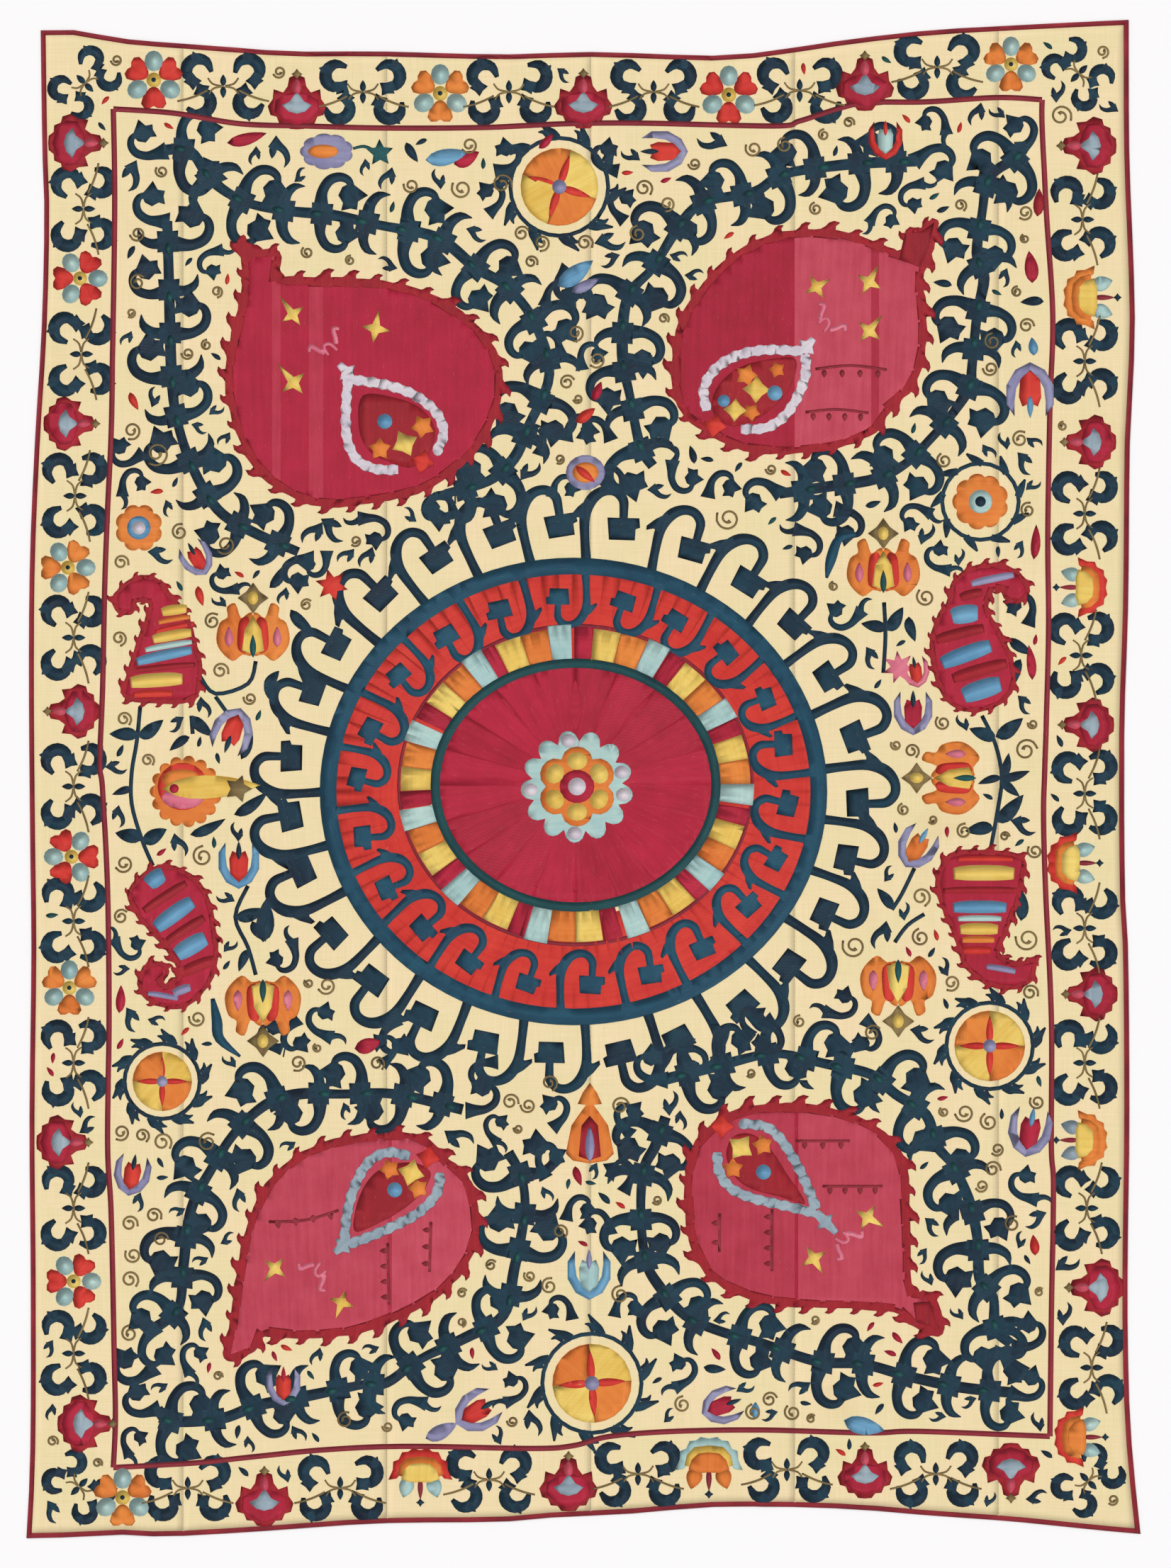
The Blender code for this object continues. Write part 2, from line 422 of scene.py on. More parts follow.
def crease_height(x, y):
    """The creases' height at a point of the cloth, in metres."""
    height = 0.0
    for ax, ay, bx, by, rise, width in CREASES:
        ax, ay = on_cloth(ax, ay)
        bx, by = on_cloth(bx, by)
        run = (bx - ax) ** 2 + (by - ay) ** 2
        share = min(max(((x - ax) * (bx - ax) + (y - ay) * (by - ay)) / run, 0.0), 1.0)
        off = math.hypot(x - ax - share * (bx - ax), y - ay - share * (by - ay)) / (width * MM)
        if off < 1.0:
            ends = math.sin(math.pi * min(max(share, 0.04), 0.96)) ** 0.5
            height += rise * MM * ends * (1 - off * off) ** 2
    return height


def lie(x, y):
    """The height of the cotton's face at a point of the cloth, in metres."""
    ripple = math.sin(x * 21 + 1.3 * math.sin(y * 9)) * math.sin(y * 17 + 1.1 * math.sin(x * 13))
    seam = sum(max(0.0, 1 - abs(x - seam_x) / SEAM_REACH) for seam_x in LOOM_SEAMS)
    flat = COTTON_THICKNESS + RIPPLE_HEIGHT * (1 + ripple) + SEAM_RISE * min(seam, 1.0)
    return flat + crease_height(x, y)


def edge_lift(x, y):
    """How far the cloth's edge is off the floor at a point, in metres."""
    return max(0.0, lie(x, y) - COTTON_THICKNESS - RIPPLE_HEIGHT)


print("height at the middle, in mm:", round(lie(0, 0) / MM, 2))

# %% [markdown]
# ## The cotton
#
# Each loom width replaces its solid with a thin sheet cut to the same outline. The outline is
# read from the solid itself: at any height on the chart, a width runs between the solid's two
# sides. The sheet is a grid of small squares with a face, a back and a rim, and its back is flat
# on the floor except under the creases.

# %% Outline of a loom width, read from its solid
def outline_loop(node):
    """The corners of a solid's flat underside, in order round its edge."""
    mesh = bpy.data.objects[node].data
    seen = defaultdict(int)
    for face in mesh.polygons:
        if face.normal.z < -0.9:
            corners = [tuple(round(c, 6) for c in mesh.vertices[i].co[:2]) for i in face.vertices]
            for a, b in zip(corners, corners[1:] + corners[:1]):
                seen[a, b] += 1
    after = {a: b for a, b in seen if (b, a) not in seen}
    start = next(iter(after))
    loop = [start]
    while after[loop[-1]] != start:
        loop.append(after[loop[-1]])
    return loop


def outline_sides(node):
    """The bottom, top, left and right side of a loom width: the first two run along +X."""
    loop = outline_loop(node)
    ends = [min(loop, key=lambda p: p[0] + p[1]), max(loop, key=lambda p: p[0] - p[1]),
            max(loop, key=lambda p: p[0] + p[1]), min(loop, key=lambda p: p[0] - p[1])]
    order = [(loop.index(end) - loop.index(ends[0])) % len(loop) for end in ends]
    if order[1] > order[3]:
        loop = loop[::-1]

    def run(a, b):
        i, j = loop.index(a), loop.index(b)
        return loop[i:j + 1] if i <= j else loop[i:] + loop[:j + 1]

    bottom_left, bottom_right, top_right, top_left = ends
    bottom, right = run(bottom_left, bottom_right), run(bottom_right, top_right)
    top, left = run(top_right, top_left), run(top_left, bottom_left)
    return bottom, top[::-1], left[::-1], right


def point_along(side, share):
    """The point at a share of a side's length."""
    lengths = [math.dist(a, b) for a, b in zip(side, side[1:])]
    left = share * sum(lengths)
    for (a, b), length in zip(zip(side, side[1:]), lengths):
        if left <= length:
            return tuple(p + (q - p) * left / length for p, q in zip(a, b))
        left -= length
    return side[-1]


panel_outlines = {i: outline_sides(f"panel_{i}") for i in range(1, 7)}
print("points on each loom width's outline", [sum(map(len, sides)) for sides in panel_outlines.values()])

# %% Each loom width as a thin sheet
SHEET_CELL = 12 * MM


def finished(name, mesh, material):
    """An object at the origin that rides on the cloth, with the one material that it is given."""
    obj = new_object(name, mesh)
    mesh.materials.clear()
    mesh.materials.append(material)
    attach(obj, "root")
    return obj


def sheet_mesh(name, sides):
    """A thin closed sheet between four sides, following the cloth's height."""
    bottom, top, left, right = sides
    corners = bottom[0], bottom[-1], top[0], top[-1]
    columns = max(2, round(math.dist(corners[0], corners[1]) / SHEET_CELL))
    rows = round(math.dist(corners[0], corners[2]) / SHEET_CELL)
    points = []
    for j in range(rows + 1):
        v = j / rows
        a, b = point_along(left, v), point_along(right, v)
        for i in range(columns + 1):
            u = i / columns
            c, d = point_along(bottom, u), point_along(top, u)
            blend = []
            for k in (0, 1):
                flat = (1 - v) * ((1 - u) * corners[0][k] + u * corners[1][k])
                flat += v * ((1 - u) * corners[2][k] + u * corners[3][k])
                blend.append((1 - v) * c[k] + v * d[k] + (1 - u) * a[k] + u * b[k] - flat)
            points.append(tuple(blend))
    face = [(x, y, lie(x, y)) for x, y in points]
    back = [(x, y, max(0.0, z - COTTON_THICKNESS - RIPPLE_HEIGHT * 2 - SEAM_RISE)) for x, y, z in face]
    count, wide = len(points), columns + 1
    faces = []
    for j in range(rows):
        for i in range(columns):
            k = j * wide + i
            faces.append((k, k + 1, k + 1 + wide, k + wide))
            faces.append((k + count, k + wide + count, k + 1 + wide + count, k + 1 + count))
    rim = list(range(columns)) + [j * wide + columns for j in range(rows)]
    rim += [rows * wide + i for i in range(columns, 0, -1)] + [j * wide for j in range(rows, 0, -1)]
    faces += [(a, a + count, b + count, b) for a, b in zip(rim, rim[1:] + rim[:1])]
    mesh = bpy.data.meshes.new(name)
    mesh.from_pydata(face + back, [], faces)
    mesh.shade_smooth()
    return mesh


def area_within(loop):
    return abs(sum(a[0] * b[1] - b[0] * a[1] for a, b in zip(loop, loop[1:] + loop[:1]))) / 2


sheets = []
for number, sides in panel_outlines.items():
    sheet = finished(f"cotton_{number}", sheet_mesh(f"cotton_{number}", sides), cotton_material)
    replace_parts(sheet, f"panel_{number}")
    sheets.append(sheet)
print("faces of the cotton", [len(sheet.data.polygons) for sheet in sheets])

# %% [markdown]
# ## Drawing with outlines
#
# Every motif is a few flat outlines. They are drawn round the chart's origin, growing along +u,
# with +v to their left, and then placed: moved, turned, sized, and mirrored where side is -1.
# A curved line is a chain of triangles, so that the silk's threads can follow it.

# %% Placing and smoothing
def placed(points, x, y, angle, size=1.0, side=1):
    """Outline points (u, v) put on the chart, with u along the angle."""
    c, s = math.cos(math.radians(angle)), math.sin(math.radians(angle))
    return [(x + size * (u * c - side * v * s), y - size * (u * s + side * v * c)) for u, v in points]


def spot(u, v, x, y, angle, size=1.0, side=1):
    """One place (u, v) put on the chart."""
    return placed([(u, v)], x, y, angle, size, side)[0]


def between(p, q, r, s, t):
    """A value at a share of the way from q to r, on a smooth curve that also knows p and s."""
    bend, twist = 2 * p - 5 * q + 4 * r - s, 3 * q - p - 3 * r + s
    return 0.5 * (2 * q + (r - p) * t + bend * t**2 + twist * t**3)


def smooth(points, closed=False, steps=5):
    """A rounded line through given points."""
    count = len(points)
    line = []
    for i in range(count if closed else count - 1):
        if closed:
            a, b, c, d = (points[(i + k) % count] for k in (-1, 0, 1, 2))
        else:
            a, b, c, d = points[max(i - 1, 0)], points[i], points[i + 1], points[min(i + 2, count - 1)]
        for step in range(steps):
            line.append(tuple(between(*four, step / steps) for four in zip(a, b, c, d)))
    if not closed:
        line.append(tuple(points[-1]))
    return line


def heading(a, b):
    """The chart's angle from one place to another."""
    return math.degrees(math.atan2(a[1] - b[1], b[0] - a[0]))


# %% Patches: an outline, with the lay of its threads
def patch(outline, grain=90.0, start=None, along=0.0):
    """An outline with its threads' angle, and the place and length that the threads count from."""
    return outline, grain, start or (0.0, 0.0), along


def stroke(points, widths, steps=4):
    """A line of changing width through given points, as a chain of patches."""
    longest = max(math.dist(a, b) for a, b in zip(points, points[1:]))
    path = smooth([(*p, w) for p, w in zip(points, widths)], steps=max(steps, math.ceil(longest / 16)))
    edges = []
    for i, (x, y, width) in enumerate(path):
        (ax, ay, _), (bx, by, _) = path[max(i - 1, 0)], path[min(i + 1, len(path) - 1)]
        length = math.hypot(bx - ax, by - ay) or 1.0
        nx, ny = (ay - by) / length * width / 2, (bx - ax) / length * width / 2
        edges.append(((x + nx, y + ny), (x - nx, y - ny)))
    chain, along = [], 0.0
    for i, ((a, b), (c, d)) in enumerate(zip(edges, edges[1:])):
        start, end = path[i][:2], path[i + 1][:2]
        chain.append(patch([a, c, d], heading(start, end), start, along))
        chain.append(patch([a, d, b], heading(start, end), start, along))
        along += math.dist(start, end)
    return chain


def shape(points, x, y, angle, size=1.0, side=1, grain=None):
    """One closed outline, placed."""
    return [patch(placed(points, x, y, angle, size, side), angle if grain is None else grain, (x, y))]


def oval(x, y, rx, ry=None, angle=0.0, points=18):
    turns = [math.tau * i / points for i in range(points)]
    return shape([(rx * math.cos(t), (ry or rx) * math.sin(t)) for t in turns], x, y, angle)


def leaf(x, y, angle, length, width, bend=0.0):
    """A pointed leaf from its base, bent to its left by a share of its length."""
    left, right = [], []
    for i in range(8):
        t = i / 7
        half = width / 2 * math.sin(math.pi * t ** 0.8) ** 0.8 if 0 < t < 1 else 0.0
        middle = bend * length * t * t
        left.append((length * t, middle + half))
        right.append((length * t, middle - half))
    return shape(left + right[-2:0:-1], x, y, angle)


def lobed(x, y, radius, lobes, depth, turn=0.0, squash=1.0):
    """A scalloped disc, with six points to a lobe."""
    outline = []
    for i in range(lobes * 6):
        t = math.tau * i / (lobes * 6)
        r = radius * (1 - depth + depth * abs(math.sin(lobes * t / 2)) ** 0.7)
        outline.append((r * math.cos(t), squash * r * math.sin(t)))
    return shape(outline, x, y, turn)


def band(x, y, outer, inner, start, end, steps):
    """A stretch of an oval ring, clockwise from one angle to another, as a chain of patches."""
    chain, along = [], 0.0
    turns = [math.radians(start + (end - start) * i / steps) for i in range(steps + 1)]
    rims = [[(x + rx * math.cos(t), y - ry * math.sin(t)) for t in turns] for rx, ry in (outer, inner)]
    for i in range(steps):
        a, b, c, d = rims[0][i], rims[0][i + 1], rims[1][i + 1], rims[1][i]
        chain.append(patch([a, b, c, d], heading(d, c), d, along))
        along += math.dist(d, c)
    return chain


# %% The work basket: what is sewn in which silk
sewn = defaultdict(list)
lots = random.Random(11)


def sew(silk, patches, layer=0):
    """Adds patches to a silk, on a layer above the cotton, all from one dye lot."""
    lot = lots.uniform(-1.0, 1.0)
    sewn[silk, layer] += [(*each, lot) for each in patches]


# %% [markdown]
# ## Hooks, curls and horns
#
# The whole design grows from one idea, a stem that turns over and ends in a heavy head. On the
# medallion the head is a square. On the vines the stem curls tighter and its head is a barbed
# leaf, and between the curls stand plain horns that taper to a point.

# %% The three hooked motifs
def hook(x, y, angle, size, side, thick):
    """A stem as high as size, turned over to one side, with a square head and a spur."""
    route = [(0, 0), (0.30, -0.02), (0.62, -0.02), (0.84, 0.07), (0.95, 0.22), (0.95, 0.38),
             (0.84, 0.49), (0.68, 0.50), (0.50, 0.49)]
    widths = [1.0, 0.9, 1.05, 1.15, 1.0, 0.95, 0.95, 0.85, 0.8]
    arm = stroke(placed(route, x, y, angle, size, side), [w * thick * size for w in widths])
    head = [(0.60, 0.28), (0.59, 0.71), (0.46, 0.72), (0.44, 0.66), (0.29, 0.65), (0.30, 0.30)]
    spur = [(0.84, 0.0), (0.74, -0.12), (0.62, -0.22), (0.56, -0.21), (0.60, -0.12), (0.58, 0.0)]
    return arm + shape(head, x, y, angle, size, side, angle + 90) + shape(spur, x, y, angle, size, side)


def curl(x, y, angle, size, side, thick=0.22, head=1.12):
    """A curl as high as size, with an arrowhead that is barbed on both sides."""
    route = [(-0.08, 0), (0.22, -0.10), (0.52, -0.17), (0.82, -0.10), (0.98, 0.10), (0.98, 0.32),
             (0.84, 0.46)]
    widths = [2.5, 1.6, 1.2, 1.15, 1.05, 0.9, 0.7]
    arm = stroke(placed(route, x, y, angle, size, side), [w * thick * size for w in widths])
    barbs = [(0.92, 0.42), (0.76, 0.27), (0.56, 0.25), (0.44, 0.40), (0.27, 0.42), (0.38, 0.60),
             (0.40, 0.74), (0.58, 0.70), (0.78, 0.86), (0.84, 0.66)]
    barbs = [(0.62 + (u - 0.62) * head, 0.52 + (v - 0.52) * head) for u, v in barbs]
    return arm + shape(barbs, x, y, angle, size, side, angle + 60)


def horn(x, y, angle, size, side, thick=0.4):
    """A tapering horn that bends to one side."""
    route = [(-0.12, 0), (0.25, -0.08), (0.60, -0.10), (0.92, 0.06), (1.05, 0.38)]
    widths = [1.7, 1.05, 0.85, 0.65, 0.08]
    return stroke(placed(route, x, y, angle, size, side), [w * thick * size for w in widths], 3)


# %% [markdown]
# ## The medallion
#
# The hand that drew it made it a little wider than it is high. Its rings are ovals about two
# centres that are some steps apart, and its hooks are set round by eye, so each one is a degree
# or so out of place.

# %% Rings and hooks of the medallion
RING_CENTRE, DISC_CENTRE = (809, 1117), (812, 1108)
# The half width and half height of each oval, from the outside in
RING_OUTER, SCARLET_OUTER, RING_INNER = (358, 330), (340, 312), (334, 306)
CHECK_RIM, CHECK_OUTER, CHECK_INNER = (252, 228), (247, 222), (203, 177)
TEAL_OUTER, DISC_RIM, TEAL_INNER, DISC_FIELD = (205, 179), (196, 170), (191, 165), (180, 154)
# Each ring of hooks: silk, layer, how many, the first one's angle, the oval that they stand on,
# how far they are turned from straight out, their height and its uneven range, thickness
HOOK_RINGS = [
    ("navy", 0, 27, 99.5, (352, 324), 0, (98, 0.94, 1.04, 6), 0.14),
    ("ring_blue", 2, 22, 86.5, (338, 310), 180, (72, 0.96, 1.08, 8), 0.15),
]
by_eye = random.Random(5)


def ring_place(centre, radii, turn):
    """A place on an oval, and the angle that points straight out of it there."""
    c, s = math.cos(math.radians(turn)), math.sin(math.radians(turn))
    out = math.degrees(math.atan2(s / radii[1], c / radii[0]))
    return centre[0] + radii[0] * c, centre[1] - radii[1] * s, out


sew("scarlet", band(*RING_CENTRE, SCARLET_OUTER, CHECK_INNER, 90, -270, 96))
sew("ring_blue", band(*RING_CENTRE, RING_OUTER, RING_INNER, 90, -270, 96), 2)
for silk, layer, count, first, feet, turned, (height, least, most, more), thick in HOOK_RINGS:
    for i in range(count):
        x, y, out = ring_place(RING_CENTRE, feet, first - 360 * i / count + by_eye.uniform(-1, 1))
        size = height * by_eye.uniform(least, most) + more
        sew(silk, hook(x, y, out + turned + by_eye.uniform(-3, 3), size, -1, thick), layer)

# %% Checkered ring, disc and rosette
CHECK_GROUPS, CHECK_START = 11, 90
# The blocks of one group, clockwise: silk, share of the group, extra height
CHECKS = [("crimson", 0.20, 2), ("yellow", 0.28, 0), ("orange", 0.28, 0), ("pale_blue", 0.24, 5)]
sew("dark_red", band(*DISC_CENTRE, CHECK_RIM, CHECK_OUTER, 90, -270, 72), 1)
for i in range(CHECK_GROUPS):
    turn = CHECK_START - 360 * i / CHECK_GROUPS + by_eye.uniform(-1.5, 1.5)
    for silk, share, extra in CHECKS:
        end = turn - share * 360 / CHECK_GROUPS
        outer = (CHECK_OUTER[0] + extra, CHECK_OUTER[1] + extra)
        sew(silk, band(*DISC_CENTRE, outer, CHECK_INNER, turn, end, 3), 2)
        turn = end
sew("teal", band(*DISC_CENTRE, TEAL_OUTER, TEAL_INNER, 90, -270, 72), 3)
# The disc is filled in wedges, each with its threads running outwards
DISC_WEDGES = 20
sew("crimson", oval(*DISC_CENTRE, *DISC_FIELD), 1)
for i in range(DISC_WEDGES):
    turns = [90 - 360 * (i + k / 4) / DISC_WEDGES for k in range(5)]
    rim = [ring_place(DISC_CENTRE, DISC_RIM, turn)[:2] for turn in turns]
    sew("crimson", [patch([DISC_CENTRE, *rim], turns[2], DISC_CENTRE)], 2)
# The rosette in the middle: a scalloped disc with pale dots, an orange flower and a round eye
EYE, EYE_LOBES = (814, 1110), 13
sew("pale_blue", lobed(*EYE, 80, EYE_LOBES, 0.20, 4), 3)
for i in range(0, EYE_LOBES, 3):
    sew("lilac_white", oval(*spot(66, 0, *EYE, 4 + (i + 0.5) * 360 / EYE_LOBES), 11, 10, 0, 10), 4)
sew("orange", lobed(*EYE, 57, 6, 0.22, 0), 4)
for turn in range(30, 390, 60):
    sew("yellow", oval(*spot(36, 0, *EYE, turn), 13, 15, turn, 12), 5)
sew("crimson", oval(*EYE, 25, 24), 5)
sew("lilac_white", oval(*EYE, 13), 6)
print("patches in the medallion", sum(map(len, sewn.values())))

# %% [markdown]
# ## The four palmettes
#
# Each corner holds a boteh, a leaf-shaped palmette with its tip turned to the corner. Its edge is
# cut into barbs that all lean the same way round. Inside are small crosses and an open drop that
# holds a sprig of its own. The four were drawn freely, so each has its own outline: some given
# points that are rounded off, with the barbs set along it at an even pitch.

# %% A barbed palmette
BARB_PITCH = 36
BARB = [(-18, -8), (-16, 3), (-8, 5), (-2, 9), (2, 14), (9, 17), (17, 15), (12, 10), (12, 4), (16, -8)]


def evenly(line, pitch):
    """Places along a closed line, an even pitch apart, each with the line's heading there."""
    closed = line + line[:1]
    total = sum(math.dist(a, b) for a, b in zip(closed, closed[1:]))
    count = max(3, round(total / pitch))
    places, due, passed = [], 0.5 * total / count, 0.0
    for a, b in zip(closed, closed[1:]):
        length = math.dist(a, b)
        while length and passed + length >= due and len(places) < count:
            share = (due - passed) / length
            places.append((a[0] + share * (b[0] - a[0]), a[1] + share * (b[1] - a[1]), heading(a, b)))
            due += total / count
        passed += length
    return places


def palmette(silk, outline, grain, size=1.0):
    """A rounded outline whose points run clockwise on the chart, with barbs all round."""
    line = smooth(outline, closed=True, steps=5)
    sew(silk, [patch(line, grain)])
    rim = line + line[:2]
    sew("madder", stroke(rim, [11 * size * by_eye.uniform(0.7, 1.15) for _ in rim], 1), 1)
    for x, y, along in evenly(line, BARB_PITCH * size):
        lean = by_eye.uniform(0.75, 1.1) * size
        sewn["madder", 1].append((*shape(BARB, x, y, along, lean, 1, grain)[0], 0.0))


def star(x, y, radius, arms, waist, turn=45.0, long=1.0):
    """A star whose first arm may be longer than the rest."""
    outline = []
    for i in range(2 * arms):
        r = radius if i % 2 == 0 else radius * waist
        r *= long if i == 0 else 1.0
        outline.append((r * math.cos(math.pi * i / arms), r * math.sin(math.pi * i / arms)))
    return shape(outline, x, y, turn)


def open_drop(silk, left, right):
    """A pale scalloped drop, open at its foot, round a red field. Both legs run from the tip."""
    for leg in (left, right):
        sew(silk, stroke(leg, [13] * len(leg)), 3)
        for x, y, along in evenly(smooth(leg) + smooth(leg)[-2:0:-1], 18):
            sew(silk, oval(x, y, 10, 8, along + 20, 10), 3)


# %% The four palmettes in place
# Each: thread angle, and its outline clockwise from the tip
PALMETTES = [
    (90,
     [(341, 336), (356, 358), (391, 358), (390, 392), (430, 396), (500, 398), (566, 406), (628, 430),
      (676, 468), (702, 514), (702, 566), (678, 622), (640, 662), (588, 692), (520, 706), (452, 710),
      (400, 690), (358, 652), (332, 592), (322, 530), (332, 470), (344, 420), (346, 380)]),
    (88,
     [(1319, 312), (1312, 350), (1298, 392), (1302, 440), (1300, 500), (1284, 545), (1254, 575),
      (1232, 606), (1180, 628), (1110, 636), (1050, 632), (996, 606), (960, 572), (952, 516), (962, 456),
      (996, 402), (1042, 358), (1104, 332), (1180, 330), (1240, 348), (1280, 362), (1282, 328),
      (1304, 326)]),
    (92,
     [(320, 1915), (330, 1864), (338, 1800), (350, 1740), (372, 1684), (410, 1642), (460, 1616),
      (530, 1604), (590, 1606), (632, 1640), (664, 1676), (670, 1750), (636, 1808), (584, 1846),
      (500, 1878), (420, 1884), (372, 1882), (356, 1904)]),
    (90,
     [(1326, 1880), (1290, 1868), (1262, 1848), (1200, 1842), (1130, 1840), (1070, 1832), (1014, 1808),
      (984, 1770), (972, 1716), (972, 1650), (992, 1604), (1040, 1570), (1110, 1562), (1180, 1570),
      (1236, 1594), (1272, 1640), (1278, 1700), (1280, 1760), (1284, 1822), (1314, 1832)]),
]
for grain, outline in PALMETTES:
    palmette("boteh", outline, grain)
# The little flags at the tips of the two right palmettes
sew("madder", [patch([(1268, 366), (1276, 330), (1300, 326), (1318, 314), (1310, 350), (1298, 378)], 90)], 2)
sew("madder", [patch([(1292, 1866), (1288, 1838), (1312, 1836), (1324, 1876)], 90)], 2)
# The red field of each drop
DROP_FIELDS = [
    [(512, 558), (560, 562), (596, 578), (614, 608), (604, 642), (580, 660), (548, 652), (520, 636),
     (506, 604)],
    [(1122, 507), (1118, 540), (1100, 566), (1070, 590), (1036, 602), (1010, 590), (1004, 566), (1016, 540),
     (1044, 518), (1085, 507)],
    [(501, 1738), (502, 1704), (516, 1670), (536, 1650), (562, 1641), (590, 1642), (608, 1656), (596, 1682),
     (570, 1706), (535, 1726)],
    [(1136, 1698), (1100, 1689), (1060, 1678), (1036, 1660), (1024, 1630), (1034, 1604), (1060, 1600),
     (1086, 1620), (1110, 1656)],
]
for field in DROP_FIELDS:
    sew("madder", [patch(smooth(field, closed=True), 90)], 2)
# Each drop: its silk, and the two legs of its outline, both from the tip
DROPS = [
    ("lilac_white", [(492, 532), (489, 560), (489, 615), (503, 648), (530, 662), (562, 663)],
     [(498, 536), (547, 544), (585, 558), (615, 582), (626, 610), (618, 634)]),
    ("lilac_white", [(1132, 496), (1080, 494), (1040, 502), (1010, 520), (993, 548), (997, 580)],
     [(1136, 500), (1136, 530), (1124, 562), (1106, 588), (1080, 604), (1045, 606)]),
    ("mist", [(486, 1752), (490, 1710), (503, 1668), (522, 1638), (548, 1626), (578, 1632)],
     [(492, 1756), (524, 1744), (560, 1728), (592, 1710), (616, 1684), (621, 1655)]),
    ("mist", [(1150, 1712), (1105, 1701), (1062, 1691), (1030, 1676), (1014, 1652), (1012, 1626)],
     [(1152, 1706), (1136, 1668), (1120, 1636), (1100, 1606), (1080, 1590), (1051, 1586)]),
]
for silk, left, right in DROPS:
    open_drop(silk, left, right)
# The stalk at each drop's tip
DROP_STALKS = [
    ("lilac_white", [(478, 514), (490, 526), (496, 538)]),
    ("lilac_white", [(1148, 478), (1138, 490), (1132, 500)]),
    ("mist", [(472, 1768), (484, 1758), (494, 1750)]), ("mist", [(1180, 1740), (1164, 1724), (1150, 1710)]),
]
for silk, points in DROP_STALKS:
    sew(silk, stroke(points, [9, 14, 12]), 3)
    sew(silk, star(*points[1], 15, 4, 0.55, 45), 3)
# The sprigs in the drops: silk, x, y, radius, number of points, 0 for a round dot
SPRIGS = [
    ("sky", 543, 595, 11, 0), ("orange", 596, 602, 18, 5), ("orange", 536, 634, 17, 5),
    ("yellow", 571, 626, 20, 4), ("scarlet", 596, 652, 18, 4), ("sky", 1093, 555, 11, 0),
    ("sky", 1021, 566, 9, 0), ("orange", 1053, 530, 17, 5), ("orange", 1096, 522, 13, 5),
    ("yellow", 1067, 550, 20, 4), ("yellow", 1037, 579, 17, 4), ("orange", 1060, 582, 14, 5),
    ("scarlet", 1008, 601, 18, 4), ("sky", 557, 1679, 11, 0), ("orange", 550, 1650, 16, 5),
    ("orange", 590, 1677, 16, 5), ("yellow", 580, 1655, 20, 4), ("scarlet", 604, 1633, 18, 4),
    ("sky", 1077, 1654, 11, 0), ("yellow", 1045, 1619, 20, 4), ("orange", 1076, 1616, 16, 5),
    ("orange", 1034, 1649, 16, 5), ("scarlet", 1018, 1590, 18, 4),
]
for silk, x, y, radius, arms in SPRIGS:
    sew(silk, star(x, y, radius, arms, 0.6, x + y) if arms else oval(x, y, radius), 4)
# Crosses: x, y, radius, angle of the long arm, its length
CROSSES = [
    (413, 444, 19, 125, 1.7), (530, 464, 21, 80, 1.3), (414, 540, 21, 130, 1.7), (1152, 405, 19, 30, 1.2),
    (1226, 398, 20, 60, 1.4), (1226, 467, 20, 50, 1.5), (388, 1790, 19, 230, 1.3),
    (482, 1838, 19, 250, 1.3), (1224, 1718, 20, 330, 1.4), (1148, 1776, 20, 300, 1.3),
]
for x, y, radius, turn, long in CROSSES:
    sew("yellow", star(x, y, radius, 4, 0.38, turn, long), 2)
# Combs, the small pink marks between the crosses: x, y, angle
for x, y, angle in [(464, 489, 128), (1166, 456, 45), (448, 1794, 225), (1190, 1750, 318)]:
    for side in (1, -1):
        wing = placed([(-4, 10), (4, 15), (16, 20), (10, 27)], x, y, angle, 1.0, side)
        sew("rose_pale", stroke(wing, [7, 7, 6, 5]), 2)
    clasp = placed([(-12, -6), (2, -3), (4, 6), (-10, 8)], x, y, angle)
    sew("rose_pale", stroke(clasp, [4, 5, 5, 4]), 2)
# Dark toothed lines on the red
TOOTHED_LINES = [
    [(379, 1724), (430, 1722), (478, 1708)], [(547, 1754), (549, 1841)], [(608, 1724), (606, 1795)],
    [(1160, 1674), (1245, 1674)], [(1122, 1610), (1199, 1610)], [(1089, 1706), (1089, 1794)],
    [(1150, 521), (1200, 516), (1251, 522)], [(1136, 582), (1180, 578), (1225, 583)],
    [(1015, 1712), (1015, 1767)],
]
TOOTH_PITCH = 24
for line in TOOTHED_LINES:
    sew("dark_red", stroke(line, [4.5] * len(line)), 2)
    (ax, ay), (bx, by) = line[0], line[-1]
    teeth = round(math.dist(line[0], line[-1]) / TOOTH_PITCH)
    for k in range(teeth):
        share = (k + 0.5) / teeth
        x, y = ax + share * (bx - ax), ay + share * (by - ay)
        sew("dark_red", leaf(x, y, heading(line[0], line[-1]) - 90, 12, 8), 2)
print("patches after the palmettes", sum(map(len, sewn.values())))

# %% [markdown]
# ## The dark vines
#
# Each palmette stands between dark vines. A vine thickens into a knot at every node. On every
# other vine a node bears a curl on one side and a horn on the other, and the next node bears them
# the other way round. On the rest, pairs of curls and pairs of horns take turns.

# %% A vine with its knots, curls and horns
vine_chance = random.Random(21)
NODE_PITCH, STEM_THICK, CURL_HEIGHT = 58, 15, 57


